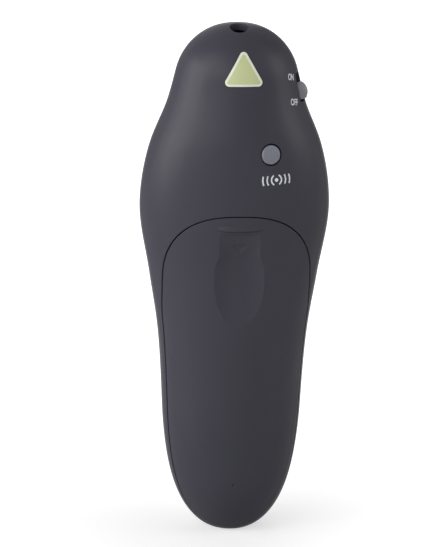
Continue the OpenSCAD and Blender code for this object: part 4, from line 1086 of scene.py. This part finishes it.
# ---- Power switch knob ----
# A slider of grey plastic in the slot of the right flank, down for OFF and up for ON. Its crown is
# domed both ways, so that its ends dip into the slot, and a peg behind it moves the switch.
KNOB_HL, KNOB_HW, KNOB_LOW, KNOB_PROUD, KNOB_ROOT = 1.95, 1.6, -2.75, 1.4, 1.9
KNOB_END_FALL, KNOB_SIDE_FALL, KNOB_P, KNOB_LIP, KNOB_LIP_FROM = 0.75, 1.5, 5.0, 0.12, 0.9
KNOB_RINGS = [0.04, 0.15, 0.3, 0.45, 0.6, 0.72, 0.82, 0.9, 0.94, 0.97, 0.99, 1.0]
PEG_HW, PEG_HL, PEG_ROOT = 0.6, 1.0, 3.2
knob_grey = finish_of("switch_knob_grey", (0.148, 0.155, 0.166), (0.168, 0.176, 0.188), (0.36, 0.44),
                      grain=2600.0, depth=0.000006, Specular_IOR_Level=0.4)
knob_mid = KNOB_LOW + KNOB_HL
phi = np.radians(np.arange(0, 360, 6))
rim_y, rim_z = KNOB_HW * squarish(np.cos(phi), KNOB_P), KNOB_HL * squarish(np.sin(phi), KNOB_P)


def tube_faces(rows, around):
    """The faces between rows of points, each row going once round."""
    faces = []
    for k in range(rows - 1):
        for i in range(around):
            j = (i + 1) % around
            faces.append((k * around + i, k * around + j, (k + 1) * around + j, (k + 1) * around + i))
    return faces


rows = []
for size in KNOB_RINGS:
    lip = max(0, (size - KNOB_LIP_FROM) / (1 - KNOB_LIP_FROM))
    side_fall = KNOB_SIDE_FALL * (size * rim_y / KNOB_HW) ** 2
    end_fall = KNOB_END_FALL * (size * rim_z / KNOB_HL) ** 2
    crown = KNOB_PROUD - side_fall - end_fall - KNOB_LIP * (1 - math.sqrt(1 - lip ** 2))
    rows.append(np.stack([crown, size * rim_y, knob_mid + size * rim_z], -1))
rows.append(np.stack([np.full(len(phi), -KNOB_ROOT), rim_y, knob_mid + rim_z], -1))
ends = [tuple(range(len(phi))), tuple(range((len(rows) - 1) * len(phi), len(rows) * len(phi)))]
knob = new_object("power_knob_dome", np.concatenate(rows), ends + tube_faces(len(rows), len(phi)))
peg = box("power_knob_peg", (-PEG_ROOT, -PEG_HW, knob_mid - PEG_HL),
          (-KNOB_ROOT + BITE, PEG_HW, knob_mid + PEG_HL))
knob = joined("power_knob_dome", [knob, peg])
knob.data.transform(Matrix.Scale(MM, 4) @ power_frame @ Matrix.Scale(1 / MM, 4))
knob.data.materials.append(knob_grey)
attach(knob, "power_slider")
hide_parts("power_knob")

# ---- Prints on the case ----
# ON and OFF beside the switch and a small wireless mark under the pairing button. They are pad
# printed in white ink over the coat, so they follow the curve of the case.
# Each word: its middle in angles, width, height
WORDS = {"ON": ((34.22, 143.95), 2.05, 1.50), "OFF": ((36.65, 135.64), 2.45, 1.50)}
WORD_TURN, WORD_WEIGHT = math.radians(-15), 0.02
for word, (at, width, height) in WORDS.items():
    bpy.ops.object.select_all(action="DESELECT")
    bpy.ops.object.text_add()
    text = bpy.context.object
    text.name = "print_" + word.lower()
    text.data.body, text.data.align_x, text.data.align_y = word, "CENTER", "CENTER"
    text.data.size, text.data.resolution_u, text.data.offset = 1.0, 6, WORD_WEIGHT
    bpy.ops.object.convert(target="MESH")
    reach = np.array([tuple(v.co) for v in text.data.vertices])
    span, middle = np.ptp(reach, axis=0), (reach.max(0) + reach.min(0)) / 2
    text.data.transform(Matrix.Diagonal((width * MM / span[0], height * MM / span[1], 1, 1))
                        @ Matrix.Translation((-middle[0], -middle[1], 0)))
    laid(text, BACK, at, WORD_TURN, PRINT_LIFT, cuts=2)
    text.data.materials.append(white_print)
    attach(text, "case")
WAVE_AT, WAVE_RADII, WAVE_HIGH = (67.39, 115.78), (1.2, 2.2, 3.2), 1.05
WAVE_LINE, WAVE_DOT, WAVE_STEPS = 0.34, 0.42, 8
waves = [ring(0, 0, WAVE_DOT, 20)]
for radius in WAVE_RADII:
    reach = math.asin(WAVE_HIGH / radius)
    for way in (0, math.pi):
        turns = np.linspace(-reach, reach, WAVE_STEPS + 1) + way
        for one, two in zip(turns, turns[1:]):
            waves.append([(r * math.cos(turn), r * math.sin(turn)) for r, turn in (
                (radius - WAVE_LINE / 2, one), (radius + WAVE_LINE / 2, one),
                (radius + WAVE_LINE / 2, two), (radius - WAVE_LINE / 2, two))])
wave = laid(sheet_of("print_wireless", waves), BACK, WAVE_AT, 0, PRINT_LIFT, cuts=2)
wave.data.materials.append(white_print)
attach(wave, "case")

# ---- Sticker ----
# A rounded triangle of yellow film with a pale rim, stuck on the slope under the nose. Nothing is
# printed on it.
STICKER_AT, STICKER_R, STICKER_CORNER, STICKER_RIM, STICKER_TOP = (0.5, 107.6), 4.65, 0.9, 0.5, 0.16
FILM_ROUND, FILM_T, FILM_PITCH = 0.03, 0.1, 0.4


def sticker_line(inset):
    """The sticker's outline, with points no farther apart than its mesh."""
    points = []
    for k in range(3):
        middle = math.radians(90 + 120 * k)
        x = STICKER_AT[0] + (STICKER_R - STICKER_CORNER) * math.cos(middle)
        z = STICKER_AT[1] + (STICKER_R - STICKER_CORNER) * math.sin(middle)
        radius = STICKER_CORNER - inset
        for p in range(-60, 61, 10):
            turn = middle + math.radians(p)
            points.append((x + radius * math.cos(turn), z + radius * math.sin(turn)))
    full = []
    for (x0, z0), (x1, z1) in zip(points, points[1:] + points[:1]):
        count = max(1, int(math.hypot(x1 - x0, z1 - z0) / FILM_PITCH))
        full += [(x0 + (x1 - x0) * i / count, z0 + (z1 - z0) * i / count) for i in range(count)]
    full = np.array(full)
    return by_xz(full[:, 0], full[:, 1])


pale_rim = finish_of("sticker_rim", (0.64, 0.66, 0.53), (0.70, 0.72, 0.59), (0.35, 0.45),
                     grain=3000.0, depth=0.000003)
yellow_film = finish_of("sticker_film", (0.45, 0.49, 0.25), (0.49, 0.53, 0.28), (0.30, 0.42),
                        grain=3000.0, depth=0.000003)
inside = sticker_line(STICKER_RIM)
sticker = panel("sticker_triangle", BACK, [sticker_line], FILM_ROUND, FILM_T, lift=STICKER_TOP,
                creases=[np.concatenate([inside, inside[:1]])], pitch=FILM_PITCH)
sticker.data.materials.append(pale_rim)
sticker.data.materials.append(yellow_film)
rim = sticker_line(STICKER_RIM + 0.01)
for face in sticker.data.polygons:
    spot = by_xz(face.center.x / MM, face.center.z / MM)
    if crossings(spot[None], [rim])[0]:
        face.material_index = 1
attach(sticker, "case")
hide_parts("blank_sticker")

# ---- Cells ----
# Two AAA cells, one each way up. A printed jacket is shrunk over a steel can, whose button stands
# at the plus end inside a dark insulating ring. They are held between their contacts.
CELL_X, CELL_Y, CELL_L, CELL_R, BUTTON_R = 5.35, -4.4, 44.5, 5.25, 1.9
CONTACT_Z, SPRING_H, BUMP_H = 17.9, 3.0, 0.8


def turned(name, profile, at, around=64):
    """A piece turned about an upright axis: its profile is radius and height in mm, end to end."""
    phi = np.linspace(0, 2 * math.pi, around, endpoint=False)
    points = [(r * math.cos(p), r * math.sin(p), z) for r, z in profile for p in phi]
    return new_object(name, np.array(points) + np.array(at, float), tube_faces(len(profile), around))


def by_height(tree, bands):
    """Bands of colour up the piece, each from its height in mm."""
    place = tree.nodes.new("ShaderNodeTexCoord")
    split = tree.nodes.new("ShaderNodeSeparateXYZ")
    tree.links.new(place.outputs["Object"], split.inputs["Vector"])
    low, high = bands[0][0] * MM, bands[-1][0] * MM
    run = ramp(tree, split.outputs["Z"], 0.0, 1.0, low, high)
    found = tree.nodes.new("ShaderNodeValToRGB")
    found.color_ramp.interpolation = "CONSTANT"
    found.color_ramp.elements[0].position, found.color_ramp.elements[0].color = 0, (*bands[0][1], 1)
    found.color_ramp.elements.remove(found.color_ramp.elements[1])
    for height, colour in bands[1:]:
        stop = found.color_ramp.elements.new(min(1, (height * MM - low) / (high - low)))
        stop.color = (*colour, 1)
    tree.links.new(run, found.inputs["Fac"])
    return found.outputs["Color"]


def jacket_of(name, bands):
    """A jacket's print, from bands of a height, a colour and how metallic the ink is."""
    material = finish_of(name, (0.3, 0.3, 0.3), (0.4, 0.4, 0.4), (0.20, 0.30), grain=2200.0,
                         depth=0.000003, Specular_IOR_Level=0.5)
    tree = material.node_tree
    shader = tree.nodes["Principled BSDF"]
    colours, metals = [(z, c) for z, c, m in bands], [(z, (m, m, m)) for z, c, m in bands]
    tree.links.new(by_height(tree, colours), shader.inputs["Base Color"])
    tree.links.new(by_height(tree, metals), shader.inputs["Metallic"])
    return material


BLACK_INK, COPPER_INK, PALE_INK = (0.012, 0.012, 0.014), (0.62, 0.24, 0.07), (0.70, 0.68, 0.62)
# The jacket's print from the minus end up: where each band starts, its colour, how metallic it is
BANDS = [(0, BLACK_INK, 0.0), (28.6, PALE_INK, 0.0), (29.1, COPPER_INK, 1.0), (42.4, PALE_INK, 0.0),
         (42.8, BLACK_INK, 0.0), (CELL_L, BLACK_INK, 0.0)]
steel = finish_of("bright_steel", (0.60, 0.60, 0.61), (0.70, 0.70, 0.71), (0.18, 0.30), grain=1400.0,
                  depth=0.000004, Metallic=1.0)
ring_black = finish_of("insulating_ring", (0.02, 0.02, 0.022), (0.03, 0.03, 0.032), (0.5, 0.6))
# Each part's profile: radius and height, in mm
JACKET = [(4.55, 0.06), (4.85, 0.0), (5.1, 0.04), (5.22, 0.2), (CELL_R, 0.45), (CELL_R, 14.0),
          (CELL_R, 28.8), (CELL_R, 42.9), (5.2, 43.15), (5.05, 43.3), (4.8, 43.32), (4.6, 43.28)]
CAN = [(0.02, 0.02), (3.6, 0.02), (3.8, 0.22), (4.4, 0.24), (4.56, 0.1)]
INSULATOR = [(4.62, 43.26), (4.4, 43.2), (2.3, 43.2)]
BUTTON = [(2.32, 43.2), (2.2, 43.42), (BUTTON_R, 43.5), (1.88, 44.2), (1.75, 44.42), (1.5, 44.5),
          (0.02, 44.5)]
for side_name, x, low, turn_over in (("left", -CELL_X, CONTACT_Z + SPRING_H, False),
                                     ("right", CELL_X, CONTACT_Z + BUMP_H, True)):
    bands = [(low + z, colour, metal) for z, colour, metal in BANDS]
    if turn_over:
        # Upside down, each band starts where it ended before
        bands = [(low + (CELL_L - end), colour, metal)
                 for (z, colour, metal), (end, *_) in zip(BANDS, BANDS[1:])]
        bands = bands[::-1] + [(low + CELL_L, BLACK_INK, 0.0)]
    parts = []
    for part, profile, material in (("jacket", JACKET, jacket_of("cell_jacket_" + side_name, bands)),
                                    ("can", CAN, steel), ("ring", INSULATOR, ring_black),
                                    ("button", BUTTON, steel)):
        piece = turned("cell_" + part, [(r, CELL_L - z if turn_over else z) for r, z in profile],
                       (x, CELL_Y, low))
        piece.data.materials.append(material)
        parts.append(piece)
    cell = joined("cell_" + side_name + "_jacketed", parts)
    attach(cell, "case")
    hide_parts("cell_" + side_name)

# ---- Coil contacts ----
# Conical springs of plated steel wire, riveted to the contact plates. Each presses on the minus
# end of its cell, so one stands at the tail and the other hangs from the upper plate.
WIRE_R, COIL_R, COIL_TAPER, COIL_TURNS, COIL_STEP, WIRE_SIDES = 0.3, 3.2, 0.25, 4.6, 12, 10
COIL_TOP = CONTACT_Z + CELL_L + SPRING_H + BUMP_H
for side_name, x, foot, up_way in (("left", -CELL_X, CONTACT_Z, 1), ("right", CELL_X, COIL_TOP, -1)):
    count = int(COIL_TURNS * 360 / COIL_STEP)
    centres = []
    for i in range(count + 1):
        turn = math.radians(COIL_STEP * i)
        r = COIL_R - COIL_TAPER * turn / (2 * math.pi)
        z = foot + up_way * (WIRE_R + (SPRING_H - 2 * WIRE_R) * i / count)
        centres.append(Vector((x + r * math.cos(turn), CELL_Y + r * math.sin(turn), z)))
    points = []
    for i, centre in enumerate(centres):
        ahead = (centres[min(i + 1, count)] - centres[max(i - 1, 0)]).normalized()
        first = ahead.cross(Vector((0, 0, 1))).normalized()
        second = ahead.cross(first)
        for k in range(WIRE_SIDES):
            phi = 2 * math.pi * k / WIRE_SIDES
            points.append(tuple(centre + WIRE_R * (math.cos(phi) * first + math.sin(phi) * second)))
    ends = [tuple(range(WIRE_SIDES)), tuple(range(count * WIRE_SIDES, (count + 1) * WIRE_SIDES))]
    coil = new_object(side_name + "_coil_wire", points, tube_faces(count + 1, WIRE_SIDES) + ends)
    coil.data.materials.append(steel)
    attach(coil, "case")
    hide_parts(side_name + "_spring")

# ---- Case screws ----
# Three steel screws, zinc-plated, with pan heads and a cross recess. They sit in the pockets of
# the deck, under the door, and draw the front shell's bosses to the rear shell.
HEAD_R, HEAD_T, HEAD_Y, HEAD_BEVEL, THREAD_R = 1.8, 1.4, -3.8, 0.3, 1.0
CROSS_L, CROSS_W, CROSS_DEPTH = 1.15, 0.32, 0.7
SCREW_LENGTHS = [6.0, 6.0, 8.0]
zinc = finish_of("zinc_plate", (0.50, 0.50, 0.52), (0.62, 0.62, 0.65), (0.22, 0.36), grain=1800.0,
                 depth=0.000006, Metallic=1.0)
screws = []
for (x, z), length in zip(SCREWS, SCREW_LENGTHS):
    head = pin("head", (x, HEAD_Y, z), (x, HEAD_Y + HEAD_T, z), HEAD_R, HEAD_BEVEL)
    for wide, high in ((CROSS_L, CROSS_W), (CROSS_W, CROSS_L)):
        bit = box("bit", (x - wide, HEAD_Y - 1, z - high), (x + wide, HEAD_Y + CROSS_DEPTH, z + high))
        cut = head.modifiers.new("cross", "BOOLEAN")
        cut.operation, cut.object = "DIFFERENCE", bit
        pick(head)
        bpy.ops.object.modifier_apply(modifier=cut.name)
        bpy.data.objects.remove(bit)
    thread = pin("thread", (x, HEAD_Y + HEAD_T - BITE, z), (x, HEAD_Y + HEAD_T + length, z), THREAD_R)
    screws += [head, thread]
screws = joined("case_screw_set", screws)
bpy.ops.object.shade_smooth_by_angle(angle=BLOCK_ANGLE)
screws.data.materials.append(zinc)
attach(screws, "case")
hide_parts("case_screws")

# ---- Status light ----
# A pipe of milky acrylic that leads the green light from the board to the bezel. It is pressed
# into the bezel's small hole and softened where it comes through.
LED_T, PIPE_BEVEL = 1.5, 0.35
pipe = pin("status_light_pipe", (0, BOARD_FRONT + LED_T, LED_Z),
           (0, float(half_depth(LED_Z, FRONT)), LED_Z), LED_D / 2, PIPE_BEVEL)
milky = finish_of("status_light_pipe", (0.42, 0.60, 0.42), (0.50, 0.68, 0.50), (0.12, 0.2), grain=2000.0,
                  depth=0.000002, Transmission_Weight=0.35, IOR=1.49)
pipe.data.materials.append(milky)
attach(pipe, "case")
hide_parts("led_lens")

# ---- Inner parts ----
# The pieces whose shape is already right get their finish: tray, board and chips, switches and
# their plungers, contacts, leads, the laser's parts and the foam pad.
resist = finish_of("green_resist", (0.006, 0.085, 0.040), (0.014, 0.130, 0.062), (0.25, 0.38),
                   grain=700.0, depth=0.00002, patch=520.0, Specular_IOR_Level=0.5)
foam = finish_of("grey_foam", (0.05, 0.05, 0.055), (0.12, 0.12, 0.125), (0.9, 1.0), grain=2600.0,
                 depth=0.00018, patch=2600.0, Specular_IOR_Level=0.1)
chip_black = finish_of("chip_epoxy", (0.016, 0.016, 0.018), (0.024, 0.024, 0.026), (0.55, 0.7),
                       grain=3200.0, depth=0.000012)
plated = finish_of("plated_steel", (0.55, 0.55, 0.57), (0.68, 0.68, 0.70), (0.20, 0.34), grain=1600.0,
                   depth=0.000004, Metallic=1.0)
# The power switch is a tin can whose face behind the slot is coloured black, painted shade that keeps the
# slot dark
SWITCH_FACE, FACE_RUN = 3.8, 0.1
TIN, SLOT_SHADE_BLACK = (0.58, 0.58, 0.60), (0.014, 0.014, 0.016)
slide_can = finish_of("slide_switch_can", TIN, TIN, (0.40, 0.52), grain=1100.0, depth=0.00001)
tree = slide_can.node_tree
place = tree.nodes.new("ShaderNodeTexCoord")
from_skin = tree.nodes.new("ShaderNodeVectorMath")
from_skin.operation = "SUBTRACT"
from_skin.inputs[1].default_value = power_frame.translation * MM
tree.links.new(place.outputs["Object"], from_skin.inputs[0])
inward = tree.nodes.new("ShaderNodeVectorMath")
inward.operation = "DOT_PRODUCT"
inward.inputs[1].default_value = power_frame.to_3x3() @ Vector((-1, 0, 0))
tree.links.new(from_skin.outputs["Vector"], inward.inputs[0])
past_face = ramp(tree, inward.outputs["Value"], 0.0, 1.0, SWITCH_FACE * MM,
                 (SWITCH_FACE + FACE_RUN) * MM)
shader = tree.nodes["Principled BSDF"]
# The can is black and not metal up to its face behind the slot: painted shade for the slot
tree.links.new(ramp(tree, past_face, SLOT_SHADE_BLACK, TIN, 0.4, 0.6), shader.inputs["Base Color"])
tree.links.new(past_face, shader.inputs["Metallic"])
tin = finish_of("stamped_tin", (0.52, 0.52, 0.54), (0.64, 0.64, 0.66), (0.28, 0.42), grain=1100.0,
                depth=0.00001, Metallic=1.0)
gold = finish_of("brass", (0.62, 0.43, 0.17), (0.74, 0.53, 0.23), (0.22, 0.36), grain=1200.0,
                 depth=0.000006, Metallic=1.0)
ceramic = finish_of("capacitor_ceramic", (0.28, 0.19, 0.11), (0.36, 0.26, 0.16), (0.5, 0.65), grain=3000.0)
pale_plastic = finish_of("light_body", (0.62, 0.62, 0.55), (0.72, 0.72, 0.65), (0.35, 0.5), grain=2600.0)
red_lead = finish_of("red_insulation", (0.34, 0.016, 0.014), (0.44, 0.024, 0.020), (0.35, 0.48),
                     grain=2400.0)
black_lead = finish_of("black_insulation", (0.012, 0.012, 0.013), (0.020, 0.020, 0.021), (0.35, 0.48),
                       grain=2400.0)
clear = finish_of("lens_glass", (0.86, 0.90, 0.93), (0.92, 0.95, 0.97), (0.02, 0.05), depth=0.0,
                  Transmission_Weight=1.0, IOR=1.5)
red_glass = finish_of("red_window", (0.26, 0.006, 0.006), (0.34, 0.010, 0.010), (0.05, 0.10), depth=0.0,
                      Transmission_Weight=0.6, IOR=1.5)
plunger_black = finish_of("plunger_black", (0.012, 0.012, 0.013), (0.018, 0.018, 0.020), (0.4, 0.5),
                          grain=2400.0)
FINISHES = {
    moulded: ["battery_tray"],
    foam: ["door_pad"],
    plunger_black: [pad + "_plunger" for pad in PADS] + ["connect_plunger"],
    tin: ["key_switches", "connect_switch"],
    slide_can: ["power_switch_body"],
    resist: ["main_board", "laser_board"],
    chip_black: ["controller_chip", "radio_chip"],
    plated: ["crystal_can", "lower_contacts", "upper_contacts", "board_screws"],
    ceramic: ["chip_capacitors"],
    gold: ["antenna", "laser_barrel"],
    pale_plastic: ["status_led"],
    red_lead: ["switch_leads"],
    black_lead: ["laser_leads", "battery_leads"],
    clear: ["laser_lens"],
    steel: ["laser_diode"],
    red_glass: ["nose_window"],
}
for material, names in FINISHES.items():
    for name in names:
        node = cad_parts[name]
        node.data.materials.clear()
        node.data.materials.append(material)
